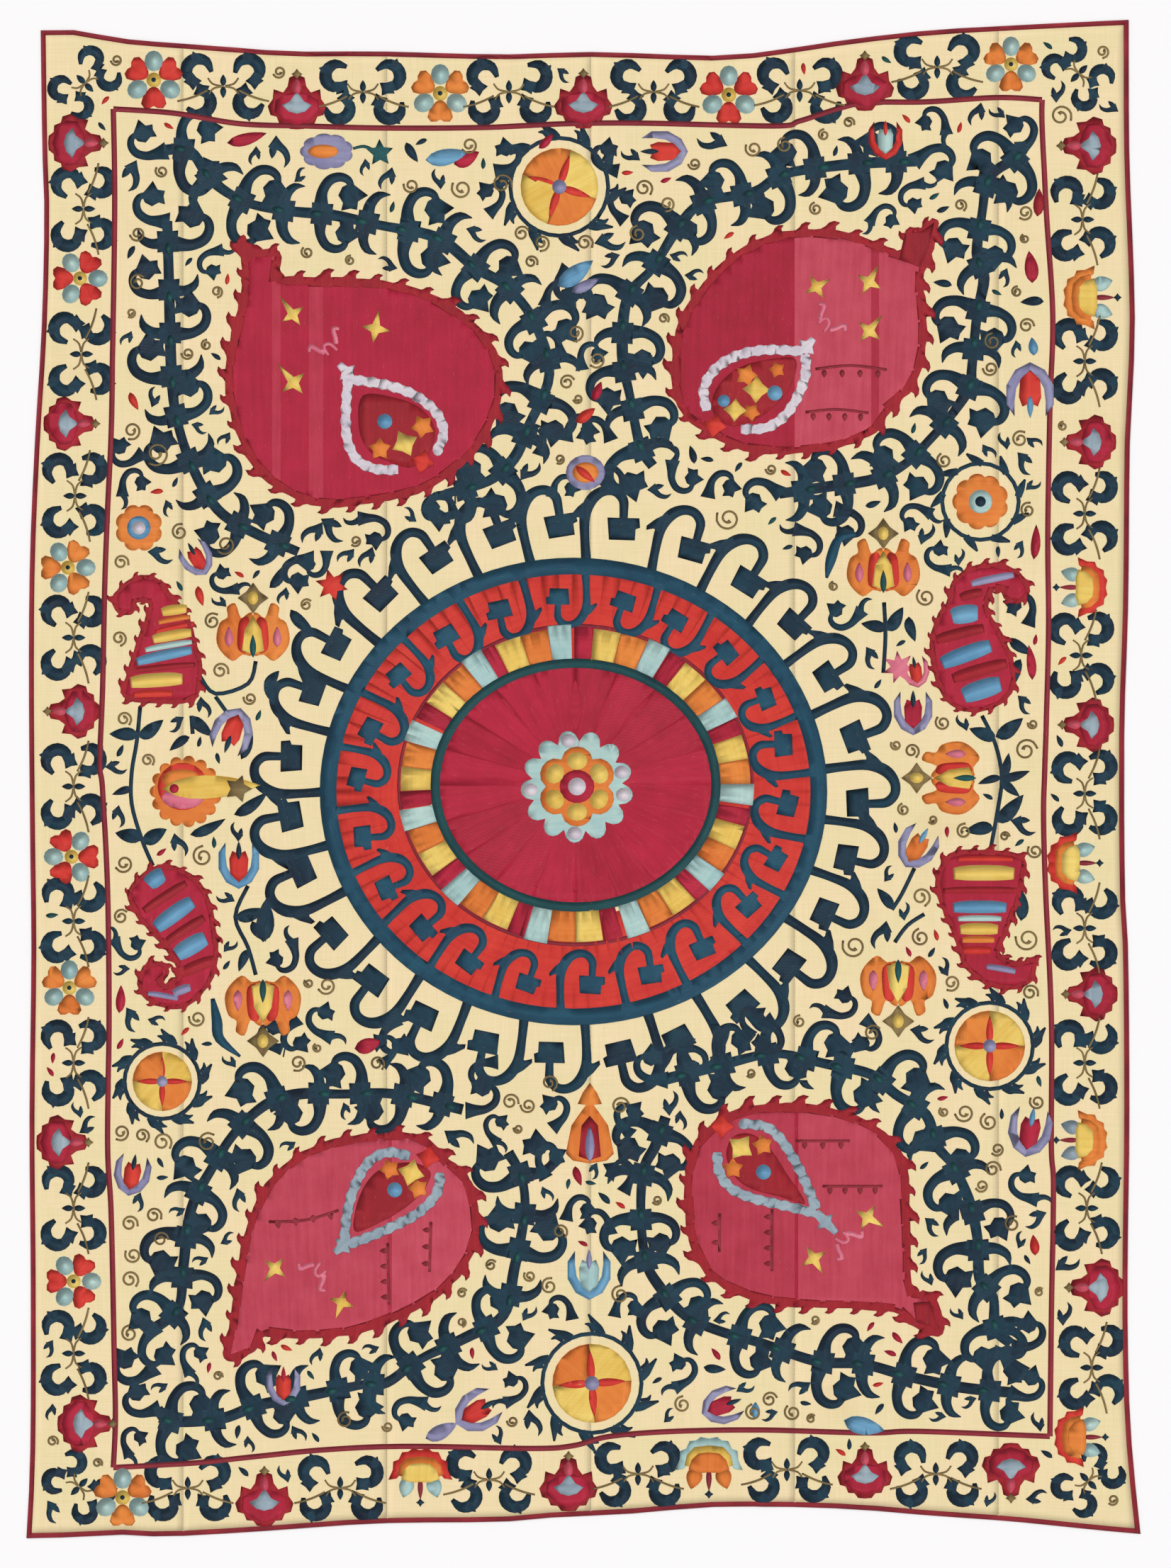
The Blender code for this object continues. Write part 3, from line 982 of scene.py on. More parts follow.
def vine(points, first, pair):
    """A stem through given points. Its nodes bear curls and horns in turn, in pairs or not."""
    line = smooth(points, steps=8)
    sew("navy", stroke(points, [STEM_THICK * vine_chance.uniform(0.85, 1.1) for _ in points]))
    lengths = [math.dist(a, b) for a, b in zip(line, line[1:])]
    count = max(1, round(sum(lengths) / NODE_PITCH))
    passed, node = 0.0, 0
    for a, b, length in zip(line, line[1:], lengths):
        passed += length
        if passed < (node + 0.4) * sum(lengths) / count:
            continue
        along = heading(a, b)
        sew("navy", star(*b, STEM_THICK * 1.45, 4, 0.66, along + 45))
        for side in (1, -1):
            grown = CURL_HEIGHT * vine_chance.uniform(0.92, 1.1)
            lean = along + side * (78 + vine_chance.uniform(-8, 8))
            curled = (node + first + (0 if pair else side // 2)) % 2
            sew("navy", curl(*b, lean, grown, -side) if curled else horn(*b, lean, grown * 0.75, -side))
        sew("teal", oval(*a, STEM_THICK * 0.6, STEM_THICK * 0.35, along, 8), 1)
        node += 1


# %% The vines of the field
VINES = [
    # Round the upper left palmette
    [(421, 779), (357, 751), (307, 719), (271, 658), (250, 594), (243, 540), (240, 460), (238, 380),
     (236, 312)],
    [(232, 212), (269, 214), (300, 256), (348, 286), (408, 298), (470, 304), (536, 318), (617, 336),
     (671, 378), (714, 404), (753, 453), (775, 528), (746, 601), (725, 647), (689, 679), (628, 697)],
    # Round the upper right palmette
    [(1292, 228), (1199, 232), (1106, 246), (1064, 271), (992, 286), (957, 321), (921, 378), (885, 421),
     (878, 500), (889, 561), (903, 629), (921, 658)],
    [(1438, 200), (1435, 221), (1396, 250), (1385, 303), (1378, 357), (1388, 393), (1378, 446), (1371, 518),
     (1367, 547), (1342, 586), (1313, 619), (1278, 654), (1235, 676), (1174, 686), (1099, 697)],
    # Round the lower left palmette
    [(653, 1566), (557, 1544), (482, 1544), (421, 1544), (375, 1559), (332, 1598), (300, 1647), (270, 1706),
     (259, 1786), (252, 1845), (219, 1874)],
    [(223, 1987), (241, 2005), (311, 2002), (365, 1983), (438, 1969), (512, 1954), (546, 1951), (593, 1918),
     (656, 1888), (710, 1856), (725, 1793), (740, 1713), (736, 1662), (717, 1626)],
    # Round the lower right palmette
    [(939, 1523), (1010, 1505), (1092, 1487), (1163, 1501), (1228, 1516), (1263, 1544), (1306, 1573),
     (1321, 1616), (1346, 1647), (1368, 1698), (1379, 1750), (1382, 1804), (1401, 1830), (1404, 1874),
     (1426, 1896)],
    [(939, 1576), (925, 1616), (908, 1651), (904, 1713), (911, 1779), (930, 1815), (966, 1856),
     (1014, 1878), (1076, 1896), (1152, 1921), (1218, 1925), (1284, 1943), (1357, 1958), (1426, 1965)],
]
for number, points in enumerate(VINES):
    vine(points, number, number % 2 == 1)
# Curls at the corners and where two vines meet: x, y, angle, size, side
END_CURLS = [
    (232, 213, 178, 48, -1), (236, 312, 158, 50, -1), (219, 1874, 250, 50, 1), (216, 1930, 200, 50, -1),
    (223, 1987, 180, 46, -1), (1404, 1874, 330, 50, -1), (1430, 1900, 20, 46, 1), (1426, 1965, 0, 44, 1),
    (1436, 214, 60, 46, 1), (1292, 228, 20, 50, -1), (640, 700, 200, 46, 1), (1099, 697, 160, 46, 1),
    (660, 1566, 20, 46, 1), (939, 1523, 160, 46, -1),
]
for each in END_CURLS:
    sew("navy", curl(*each))
print("patches after the vines", sum(map(len, sewn.values())))

# %% [markdown]
# ## Rosettes, buds and flowers
#
# The rest of the field and the border are filled with flower heads in the bright silks. Sun
# rosettes are quartered discs in a ring of hooks. The border has rosettes of six petals, scalloped
# buds with a blue heart, and half flowers, which are arches one inside another, with thin scrolls
# between them. Each is drawn once and turned into place.

# %% Flower heads
SUN_HOOKS = 10


def sun(x, y, disc, cream, ring, turn):
    """A quartered disc in a cream ring and a dark ring of hooks, given by their radii."""
    sew("navy", band(x, y, (cream + 6, cream + 6), (cream, cream), 90, -270, 28))
    reach = ring - cream
    for i in range(SUN_HOOKS):
        a = turn + 360 * i / SUN_HOOKS
        foot = spot(cream + 2, 0, x, y, a)
        flame = placed([(0, -10), (8, -4), (reach * 0.55, 2), (reach, 12)], *foot, a)
        thorn = placed([(4, 2), (reach * 0.45, 8), (reach * 0.5, 16)], *foot, a)
        sew("navy", stroke(flame, [11, 13, 10, 3], 3))
        sew("navy", stroke(thorn, [9, 7, 2], 3))
    for i in range(4):
        rim = [spot(disc, 0, x, y, turn - 10 + 90 * i + k * 15) for k in range(7)]
        sew("orange" if i % 2 else "yellow", [patch([(x, y), *rim], turn + 35 + 90 * i)], 1)
    for i in range(4):
        sew("scarlet", leaf(x, y, turn - 10 + 90 * i, disc * 0.86, disc * 0.22), 2)
    sew("lavender", oval(x, y, disc * 0.19), 3)


def even_shape(half, x, y, angle, size, grain=0):
    """An outline given by its one half, from tip to foot, and the same again on the other side."""
    return shape(half + [(u, -v) for u, v in half[-2:0:-1]], x, y, angle, size, 1, angle + grain)


def rosette(x, y, radius, silk, turn):
    """Three fan petals and three round pale blue ones in turn, round a yellow eye."""
    fan = [(0.22, 0.0), (0.30, 0.16), (0.56, 0.38), (0.86, 0.46), (1.02, 0.34), (1.02, 0.14), (0.94, 0.0)]
    for i in range(6):
        a = turn + 60 * i
        if i % 2:
            middle = spot(0.68, 0, x, y, a, radius)
            sew("pale_blue", oval(*middle, radius * 0.38, radius * 0.34, a, 12))
        else:
            sew(silk, even_shape(fan, x, y, a, radius))
    sew("yellow", oval(x, y, radius * 0.27), 1)
    sew("navy", oval(x, y, radius * 0.10, points=8), 2)


def bud(x, y, angle, size):
    """A scalloped bud round a blue heart, with its neck pointing along the angle."""
    crown = [(-1.0, 0.0), (-0.98, 0.26), (-0.80, 0.40), (-0.78, 0.64), (-0.54, 0.74), (-0.48, 0.96),
             (-0.16, 1.06), (0.10, 0.88), (0.46, 0.84), (0.34, 0.50), (0.56, 0.34), (0.88, 0.28), (1.0, 0.0)]
    petals = [(-0.86, 0.0), (-0.70, 0.46), (-0.36, 0.82), (0.06, 0.78), (0.26, 0.44), (0.40, 0.0)]
    heart = [(-0.44, 0.0), (-0.36, 0.30), (-0.12, 0.56), (0.02, 0.26), (0.26, 0.10), (0.32, 0.0)]
    sew("madder", even_shape(crown, x, y, angle, size))
    sew("crimson", even_shape(petals, x, y, angle, size), 1)
    sew("mist", even_shape(heart, x, y, angle, size, 90), 2)
    sew("rose", leaf(*spot(0.24, 0, x, y, angle, size), angle, size * 0.62, size * 0.34), 2)
    sew("olive", star(*spot(1.0, 0, x, y, angle, size), size * 0.2, 4, 0.6, angle), 1)


def half_flower(x, y, angle, size, arch_silk, band_silk, middle_silk, petal_silk):
    """A scalloped arch that opens along the angle, with two petals and a spike at its foot."""
    arch = [(0.92, 0.0), (0.98, 0.28), (0.86, 0.44), (0.84, 0.66), (0.58, 0.78), (0.50, 0.98), (0.20, 1.0),
            (-0.16, 1.16), (-0.12, 0.86), (0.06, 0.70), (0.0, 0.0)]
    band_arch = [(0.70, 0.0), (0.64, 0.50), (0.36, 0.76), (0.0, 0.84), (-0.10, 0.40), (-0.10, 0.0)]
    middle = [(0.46, 0.0), (0.42, 0.36), (0.20, 0.60), (-0.14, 0.70), (-0.26, 0.36), (-0.24, 0.0)]
    for side in (1, -1):
        foot = spot(-0.04, 0.40, x, y, angle, size, side)
        sew(petal_silk, leaf(*foot, angle + 180 - 16 * side, size * 0.80, size * 0.56))
    spike = spot(-0.08, 0, x, y, angle, size)
    sew("dark_red", leaf(*spike, angle + 180, size * 0.80, size * 0.20), 1)
    sew("navy", star(*spot(-0.98, 0, x, y, angle, size), size * 0.16, 4, 0.6, angle))
    for layer, silk, half in [(1, arch_silk, arch), (2, band_silk, band_arch), (3, middle_silk, middle)]:
        sew(silk, even_shape(half, x, y, angle, size), layer)


def tulip(x, y, angle, size, outer, middle, core):
    """Two outer petals that part round a middle one. The last three are its silks."""
    petal = [(-0.88, 0.0), (-0.62, 0.50), (-0.1, 0.80), (0.55, 0.80), (0.95, 0.52), (0.45, 0.52),
             (0.0, 0.46), (-0.40, 0.24), (-0.56, 0.0)]
    heart = [(-0.62, 0.0), (-0.30, 0.34), (0.30, 0.38), (0.62, 0.26), (0.50, 0.0)]
    for side in (1, -1):
        sew(outer, shape(petal, x, y, angle, size, side, angle + 20 * side))
    sew(middle, even_shape(heart, x, y, angle, size), 1)
    sew(core, leaf(*spot(0.25, 0, x, y, angle, size), angle, size * 0.75, size * 0.22), 2)


def iris(x, y, angle, size):
    """A broad flower: two orange falls, a yellow middle with a green spear, and an olive crown."""
    fall = [(0.55, 0.0), (0.63, 0.14), (0.50, 0.34), (0.91, 0.50), (0.80, 0.74), (0.52, 0.72), (0.36, 0.94),
            (-0.09, 1.04), (-0.43, 0.92), (-0.72, 0.58), (-0.54, 0.30), (-0.50, 0.0)]
    inner = [(0.46, 0.10), (0.46, 0.36), (0.1, 0.44), (-0.40, 0.42), (-0.44, 0.12)]
    arch = [(0.58, 0.0), (0.16, 0.24), (-0.44, 0.32), (-0.54, 0.0)]
    for side in (1, -1):
        rim = smooth(placed(fall, x, y, angle, size, side), closed=True, steps=3)
        sew("orange", [patch(rim, angle + 30 * side)])
        rim = smooth(placed(inner, x, y, angle, size, side), closed=True, steps=3)
        sew("scarlet", [patch(rim, angle)], 1)
        foot = spot(-0.34, 0.68, x, y, angle, size, side)
        sew("rose_pale", leaf(*foot, angle, size * 0.6, size * 0.26), 1)
    sew("yellow", even_shape(arch, x, y, angle, size), 2)
    sew("teal", leaf(*spot(-0.62, 0, x, y, angle, size), angle, size * 0.66, size * 0.2), 3)
    crown = spot(1.06, 0, x, y, angle, size)
    sew("olive", star(*crown, size * 0.44, 4, 0.6, angle), 2)
    sew("yellow", oval(*crown, size * 0.2, size * 0.16, angle, 10), 3)


def spiral_line(x, y, radius, angle):
    """A thin spiral of one turn and a half, with a small knot inside."""
    route = []
    for i in range(14):
        t, r = math.radians(40 * i), radius * (1.0 - 0.75 * i / 13)
        route.append((r * math.cos(t), r * math.sin(t)))
    return stroke(placed(route, x, y, angle), [3.4] * 12 + [5, 6], 2)


def comma(x, y, radius, start, turn, thick):
    """A crescent leaf, bent round a centre by a signed turn."""
    widths = (0.35, 0.8, 1.0, 1.05, 0.85, 0.3)
    steps = len(widths) - 1
    route = []
    for i in range(steps + 1):
        t = math.radians(start + turn * i / steps)
        r = radius * (1.15 - 0.3 * i / steps)
        route.append((x + r * math.cos(t), y - r * math.sin(t)))
    return stroke(route, [thick * w for w in widths], 3)


def scroll(x, y, angle, size, ends):
    """Four crescent leaves on thin stems that meet, with runners towards the ends given."""
    for end in ends:
        run = [(end * 20, -5), (end * 34, -12), (end * 48, -17), (end * 61, -20)]
        sew("olive", stroke(placed(run, x, y, angle, size), [3, 3.4, 3.4, 3]))
    # Each leaf: its centre u, v, the angle that it starts at, how far it turns
    leaves = [(-34, 20, 20, 215), (-32, -20, 170, 200), (34, 20, 160, -215), (35, -20, 10, -200)]
    for u, v, start, turn in leaves:
        cx, cy = spot(u, v, x, y, angle, size)
        start += by_eye.uniform(-40, 40)
        sew("navy", comma(cx, cy, 16 * size, start + angle, turn * 1.2, 16.5 * size))
        out = start + angle + turn * 0.45
        sew("navy", leaf(*spot(12 * size, 0, cx, cy, out), out, 15 * size, 10 * size, 0.35))
        tip = spot(15 * size, 0, cx, cy, start + angle + turn * 1.15)
        sew("navy", star(*tip, 12.5 * size, 4, 0.6, out))
        stem = placed([(0, 0), (u * 0.4, v * 0.15), (u * 0.6, v * 0.55)], x, y, angle, size)
        sew("olive", stroke(stem, [3, 3, 2.5]))


# %% Sun rosettes and flowers of the field
# Each sun: x, y, the radii of its disc, its cream ring and its hooks, angle
SUNS = [
    (789, 264, 55, 66, 92, -8), (835, 1952, 56, 67, 95, 14), (229, 1526, 42, 50, 71, 10),
    (1396, 1476, 50, 58, 80, 10),
]
for each in SUNS:
    sun(*each)
# The round flower at the upper right, in its ring of thorns, and the one at the upper left
RIGHT_FLOWER, LEFT_FLOWER = (1383, 708), (196, 745)
sew("orange", lobed(*RIGHT_FLOWER, 40, 9, 0.12))
sew("pale_blue", oval(*RIGHT_FLOWER, 17), 1)
sew("navy", oval(*RIGHT_FLOWER, 8), 2)
sew("navy", band(*RIGHT_FLOWER, (57, 57), (51, 51), 90, -270, 24))
for a in range(20, 380, 40):
    foot = spot(54, 0, *RIGHT_FLOWER, a)
    sew("navy", stroke(placed([(-2, -12), (6, -2), (16, 8)], *foot, a), [10, 11, 3], 3))
sew("orange", lobed(*LEFT_FLOWER, 34, 8, 0.14))
sew("sky", oval(*LEFT_FLOWER, 17), 1)
sew("lilac_white", oval(*LEFT_FLOWER, 10), 2)

# %% Flowers: each with its place, angle and size, and a tulip with its three silks
IRISES = [
    (357, 897, 90, 50), (1246, 806, 90, 50), (1346, 1098, 180, 50), (1267, 1386, 270, 52),
    (371, 1414, 270, 52),
]
for each in IRISES:
    iris(*each)
TULIPS = [
    (329, 1029, 250, 36, "lavender", "scarlet", "navy"), (279, 790, 120, 28, "lavender", "scarlet", "navy"),
    (337, 1223, 90, 36, "sky", "scarlet", "navy"), (1288, 1008, 90, 34, "lavender", "crimson", "navy"),
    (1292, 1198, 60, 34, "lavender", "orange", "sky"), (939, 214, 180, 36, "lavender", "scarlet", "navy"),
    (1453, 548, 270, 42, "lavender", "scarlet", "sky"), (1452, 1600, 80, 38, "lavender", "crimson", "sky"),
    (831, 1801, 90, 38, "sky", "pale_blue", "lavender"), (670, 1993, 30, 36, "lavender", "scarlet", "navy"),
    (1016, 1985, 20, 32, "lavender", "crimson", "navy"), (186, 1660, 80, 32, "lavender", "scarlet", "navy"),
    (400, 1958, 90, 30, "lavender", "scarlet", "crimson"),
    (1249, 200, 90, 30, "scarlet", "pale_blue", "scarlet"),
    (1292, 950, 100, 24, "rose_pale", "scarlet", "navy"),
]
for each in TULIPS:
    tulip(*each)
# The oval flower at the top left, with a leaf on a stem
sew("lavender", lobed(461, 214, 38, 9, 0.1, 0, 0.68))
sew("orange", oval(456, 214, 22, 10), 1)
sew("teal", stroke([(498, 210), (514, 207), (530, 214)], [4, 5, 5]) + star(536, 216, 20, 5, 0.5, 20))
# The round flower at the left, with its long spear
sew("orange", lobed(262, 1117, 51, 15, 0.14))
sew("scarlet", oval(258, 1110, 36, 34), 1)
sew("rose_pale", oval(258, 1126, 30, 16), 2)
sew("orange", oval(256, 1100, 28, 15), 2)
sew("yellow", leaf(228, 1113, 2, 140, 34), 3)
sew("olive", star(336, 1113, 20, 5, 0.55, 0), 4)
sew("crimson", oval(246, 1113, 7), 4)
# Single leaves: x, y, angle, length, width, silk
LEAVES = [
    (320, 202, 8, 58, 18, "crimson"), (600, 226, 5, 62, 24, "sky"), (640, 232, 20, 40, 22, "crimson"),
    (786, 404, 30, 62, 26, "sky"), (806, 412, 20, 44, 16, "lavender"), (371, 1330, 80, 62, 26, "navy"),
    (1190, 2004, 340, 60, 26, "sky"), (500, 1480, 10, 40, 22, "crimson"),
    (1456, 400, 90, 46, 20, "crimson"), (1463, 306, 80, 40, 16, "madder"),
    (1458, 790, 80, 50, 14, "crimson"), (1456, 960, 90, 50, 14, "crimson"),
    (600, 2030, 20, 50, 22, "lavender"), (1458, 502, 90, 26, 14, "sky"),
    (1460, 1772, 90, 30, 14, "scarlet"), (1064, 2002, 80, 24, 14, "sky"), (812, 596, 30, 34, 16, "scarlet"),
    (836, 566, 60, 30, 14, "crimson"), (168, 1430, 80, 40, 14, "crimson"),
    (760, 210, 40, 30, 12, "crimson"),
]
for *where, silk in LEAVES:
    sew(silk, leaf(*where, 0.1))
# Two odd stars, and the round flower above the medallion
sew("scarlet", star(468, 826, 24, 6, 0.5))
sew("rose_pale", star(1268, 942, 24, 7, 0.5))
sew("lavender", oval(826, 667, 28, 25))
sew("orange", oval(826, 667, 19, 15), 1)
sew("scarlet", leaf(812, 658, 320, 36, 12), 2)
# The arrowhead under the medallion
ARROWHEAD = [(-44, 0), (-40, 24), (-30, 34), (10, 26), (30, 12), (46, 0)]
sew("orange", even_shape(ARROWHEAD, 832, 1598, 90, 1.0))
sew("madder", even_shape([(-40, 0), (-34, 16), (10, 12), (24, 0)], 832, 1598, 90, 1.0), 1)
sew("lavender", leaf(832, 1640, 90, 52, 14), 2)
sew("orange", star(832, 1548, 20, 3, 0.6, 90))

# %% The striped palmettes at the sides
# Each outline, clockwise
SIDE_PALMETTES = [
    [(236, 836), (262, 868), (274, 906), (282, 940), (274, 984), (224, 990), (176, 982), (182, 950),
     (194, 912), (208, 872), (212, 850), (192, 848), (186, 864), (168, 862), (162, 844), (178, 824),
     (204, 814), (226, 822)],
    [(222, 1224), (262, 1232), (290, 1262), (302, 1310), (304, 1360), (286, 1398), (256, 1420), (220, 1416),
     (198, 1394), (204, 1366), (228, 1360), (236, 1374), (224, 1386), (242, 1390), (252, 1370), (240, 1344),
     (218, 1318), (194, 1290), (184, 1256)],
    [(1338, 850), (1346, 822), (1372, 802), (1410, 798), (1438, 812), (1450, 834), (1434, 850), (1418, 842),
     (1412, 830), (1398, 834), (1392, 860), (1408, 890), (1426, 930), (1428, 970), (1402, 996),
     (1362, 1002), (1334, 984), (1320, 950), (1314, 910), (1324, 872)],
    [(1340, 1208), (1390, 1202), (1440, 1210), (1442, 1240), (1432, 1280), (1416, 1320), (1408, 1346),
     (1434, 1360), (1458, 1356), (1452, 1384), (1424, 1394), (1390, 1386), (1362, 1362), (1348, 1322),
     (1332, 1284), (1322, 1246)],
]
for outline in SIDE_PALMETTES:
    palmette("crimson", outline, 90, 0.62)
# Each stripe: silk, centre x, y, angle, length, width
STRIPES = [
    ("sky", 220, 1241, 35, 27, 24), ("sky", 246, 1291, 36, 64, 23), ("sky", 270, 1336, 30, 48, 25),
    ("lavender", 257, 1398, 20, 26, 13), ("lavender", 230, 1406, 350, 44, 8),
    ("madder", 233, 1266, 33, 72, 13), ("madder", 261, 1313, 33, 66, 14), ("madder", 279, 1364, 22, 52, 17),
    ("sky", 1361, 868, 8, 38, 26), ("sky", 1363, 924, 20, 74, 23), ("sky", 1385, 974, 18, 56, 27),
    ("lavender", 1400, 818, 12, 62, 11), ("madder", 1354, 895, 14, 70, 16),
    ("madder", 1382, 947, 16, 80, 18), ("madder", 1370, 840, 14, 32, 14), ("yellow", 246, 862, 8, 36, 15),
    ("orange", 246, 875, 10, 46, 8), ("scarlet", 247, 886, 12, 56, 8), ("yellow", 243, 898, 10, 56, 15),
    ("pale_blue", 238, 912, 10, 68, 9), ("sky", 232, 926, 12, 80, 15), ("madder", 228, 943, 6, 96, 9),
    ("yellow", 221, 961, 4, 74, 20), ("scarlet", 216, 980, 2, 56, 11), ("scarlet", 1390, 1213, 0, 80, 8),
    ("yellow", 1388, 1233, 0, 86, 22), ("madder", 1385, 1257, 0, 110, 10), ("sky", 1382, 1281, 0, 76, 18),
    ("pale_blue", 1382, 1297, 0, 62, 9), ("yellow", 1381, 1312, 0, 54, 17),
    ("orange", 1380, 1327, 0, 46, 10), ("scarlet", 1378, 1342, 0, 40, 12),
    ("lavender", 1412, 1368, 350, 42, 9),
]
for silk, x, y, angle, length, width in STRIPES:
    run = placed([(-length / 2, 0), (-length / 4, 1), (length / 4, 1), (length / 2, 0)], x, y, angle)
    sew(silk, stroke(run, [width * 0.75, width, width, width * 0.75]), 1)

# %% Stems, leaves and small spirals
STEMS = [
    [(198, 997), (193, 1047), (186, 1090), (186, 1134), (200, 1184), (216, 1222)],
    [(361, 933), (350, 965), (304, 979), (282, 954)], [(304, 983), (322, 1008)],
    [(350, 1250), (332, 1294), (350, 1337), (361, 1376)], [(1247, 850), (1249, 897), (1246, 950)],
    [(1385, 1010), (1404, 1050), (1413, 1098), (1406, 1151), (1396, 1205)],
    [(1290, 1225), (1272, 1262), (1258, 1284)], [(1262, 1330), (1280, 1306), (1304, 1290)],
    [(270, 1010), (272, 1036)],
]
for points in STEMS:
    sew("navy", stroke(points, [6] * len(points)))
# Leaves on the stems: x, y, angle, length, width
STEM_LEAVES = [
    (195, 1040, 160, 40, 20), (195, 1040, 20, 42, 20), (200, 1186, 150, 38, 22), (200, 1186, 10, 38, 22),
    (188, 1114, 180, 30, 12), (272, 1010, 300, 40, 18), (268, 1040, 200, 34, 14), (332, 1294, 0, 44, 20),
    (356, 1300, 290, 34, 16), (352, 1340, 230, 34, 14), (372, 968, 30, 30, 16), (378, 960, 270, 34, 14),
    (1250, 890, 150, 36, 18), (1250, 890, 40, 40, 20), (1282, 870, 270, 36, 16), (1404, 1040, 20, 46, 22),
    (1404, 1046, 140, 40, 20), (1413, 1098, 60, 36, 14), (1413, 1098, 300, 36, 14),
    (1413, 1098, 180, 34, 12), (1413, 1098, 0, 40, 14), (1404, 1160, 30, 54, 22), (1402, 1170, 170, 40, 20),
    (1258, 1284, 110, 36, 16), (330, 1150, 20, 56, 18), (268, 1178, 10, 54, 16), (340, 1072, 60, 50, 16),
    (1440, 1300, 80, 50, 20), (1424, 900, 310, 40, 16), (1440, 930, 240, 40, 16), (380, 830, 40, 44, 16),
    (410, 860, 300, 50, 18),
]
for each in STEM_LEAVES:
    sew("navy", leaf(*each, 0.25))
# Two long blue leaves
sew("ring_blue", stroke([(300, 1409), (306, 1440), (310, 1466), (339, 1491)], [6, 15, 14, 4]))
sew("ring_blue", stroke([(1210, 754), (1184, 760), (1172, 790), (1166, 816)], [6, 12, 15, 4]))
# Small spirals: x, y, radius
SPIRALS = [
    (186, 608, 13), (221, 640, 18), (254, 751, 12), (318, 769, 14), (171, 794, 11), (300, 877, 12),
    (168, 901, 11), (311, 947, 12), (175, 1015, 11), (175, 1219, 13), (171, 1294, 11), (461, 1391, 13),
    (532, 1501, 11), (171, 1598, 12), (229, 1612, 14), (293, 1612, 14), (662, 205, 12), (708, 260, 15),
    (764, 343, 12), (825, 343, 12), (908, 266, 13), (941, 288, 11), (1063, 210, 12), (1107, 205, 11),
    (1400, 482, 12), (1397, 520, 11), (1439, 620, 12), (1450, 720, 11), (194, 399, 12), (720, 1555, 12),
    (775, 1528, 12), (875, 1561, 13), (775, 1815, 12), (875, 1827, 13), (487, 2004, 12), (1400, 1650, 12),
    (1395, 1583, 13), (1428, 1727, 12), (1118, 1993, 12), (1063, 1993, 12), (963, 1982, 12),
    (183, 1727, 12), (188, 1771, 12), (227, 1749, 11), (183, 1882, 12), (1299, 1266, 14), (1299, 1323, 13),
    (1342, 1387, 12), (1453, 1401, 12), (1231, 1458, 12), (1463, 1555, 11), (1360, 1173, 11),
    (1460, 1201, 11), (1330, 1020, 11), (1286, 1060, 11), (745, 1560, 11), (790, 1738, 11), (812, 470, 12),
    (842, 508, 12), (800, 540, 11), (900, 330, 12), (736, 330, 11), (580, 262, 11), (194, 330, 11),
    (1446, 300, 11), (1448, 460, 11), (1332, 650, 11), (420, 1500, 12),
]
for x, y, radius in SPIRALS:
    sew("olive", spiral_line(x, y, radius, x * 7 + y * 3))
# Small curls in the gaps: x, y, angle, size, side
SMALL_CURLS = [
    (800, 380, 250, 40, 1), (770, 430, 60, 38, -1), (830, 440, 100, 38, 1), (822, 520, 80, 36, -1),
    (790, 500, 120, 36, 1), (860, 620, 130, 40, 1), (800, 620, 60, 40, -1), (760, 640, 90, 38, 1),
    (780, 700, 60, 34, -1), (880, 690, 120, 36, 1), (780, 1590, 60, 40, 1), (890, 1600, 120, 40, -1),
    (770, 1660, 100, 40, -1), (880, 1680, 80, 40, 1), (800, 1720, 60, 38, -1), (860, 1740, 120, 38, 1),
    (806, 1860, 120, 36, 1), (868, 1856, 60, 36, -1), (700, 1500, 200, 40, 1), (960, 1480, 340, 40, -1),
    (440, 790, 200, 44, 1), (1180, 720, 330, 44, -1), (420, 1440, 240, 40, 1), (1220, 1440, 300, 40, -1),
    (200, 640, 200, 40, -1), (1450, 880, 90, 40, 1), (700, 240, 30, 40, 1), (870, 240, 150, 40, -1),
    (690, 300, 60, 38, 1), (880, 310, 120, 38, -1), (560, 1440, 240, 44, 1), (1080, 1440, 300, 44, -1),
    (640, 730, 120, 40, 1), (1000, 700, 60, 40, -1), (460, 780, 250, 36, -1), (540, 1500, 60, 36, 1),
    (1060, 1460, 110, 36, -1), (400, 1480, 150, 40, -1),
]
for each in SMALL_CURLS:
    sew("navy", curl(*each))
print("patches in the field", sum(map(len, sewn.values())))

# %% The inner line
INNER_LINE = [
    [(160, 154), (245, 160), (340, 175), (430, 178), (545, 181), (689, 180), (796, 175), (903, 174),
     (1092, 178), (1128, 171), (1181, 154), (1224, 145), (1306, 144), (1406, 138), (1470, 141)],
    [(1470, 141), (1470, 180), (1476, 300), (1485, 446), (1481, 576), (1478, 754), (1479, 897),
     (1474, 1076), (1472, 1151), (1475, 1260), (1483, 1437), (1483, 1616), (1486, 1677), (1483, 1860),
     (1481, 2027)],
    [(1481, 2027), (1298, 2020), (1225, 2022), (1079, 2018), (948, 2020), (860, 2027), (809, 2040),
     (751, 2044), (573, 2041), (457, 2046), (365, 2055), (278, 2064), (160, 2071)],
    [(160, 2071), (163, 2000), (161, 1896), (157, 1713), (152, 1616), (154, 1437), (152, 1259), (145, 1116),
     (141, 1076), (145, 969), (148, 826), (152, 719), (157, 611), (159, 500), (162, 286), (160, 154)],
]
for side in INNER_LINE:
    sew("dark_red", stroke(side, [8] * len(side), 3))

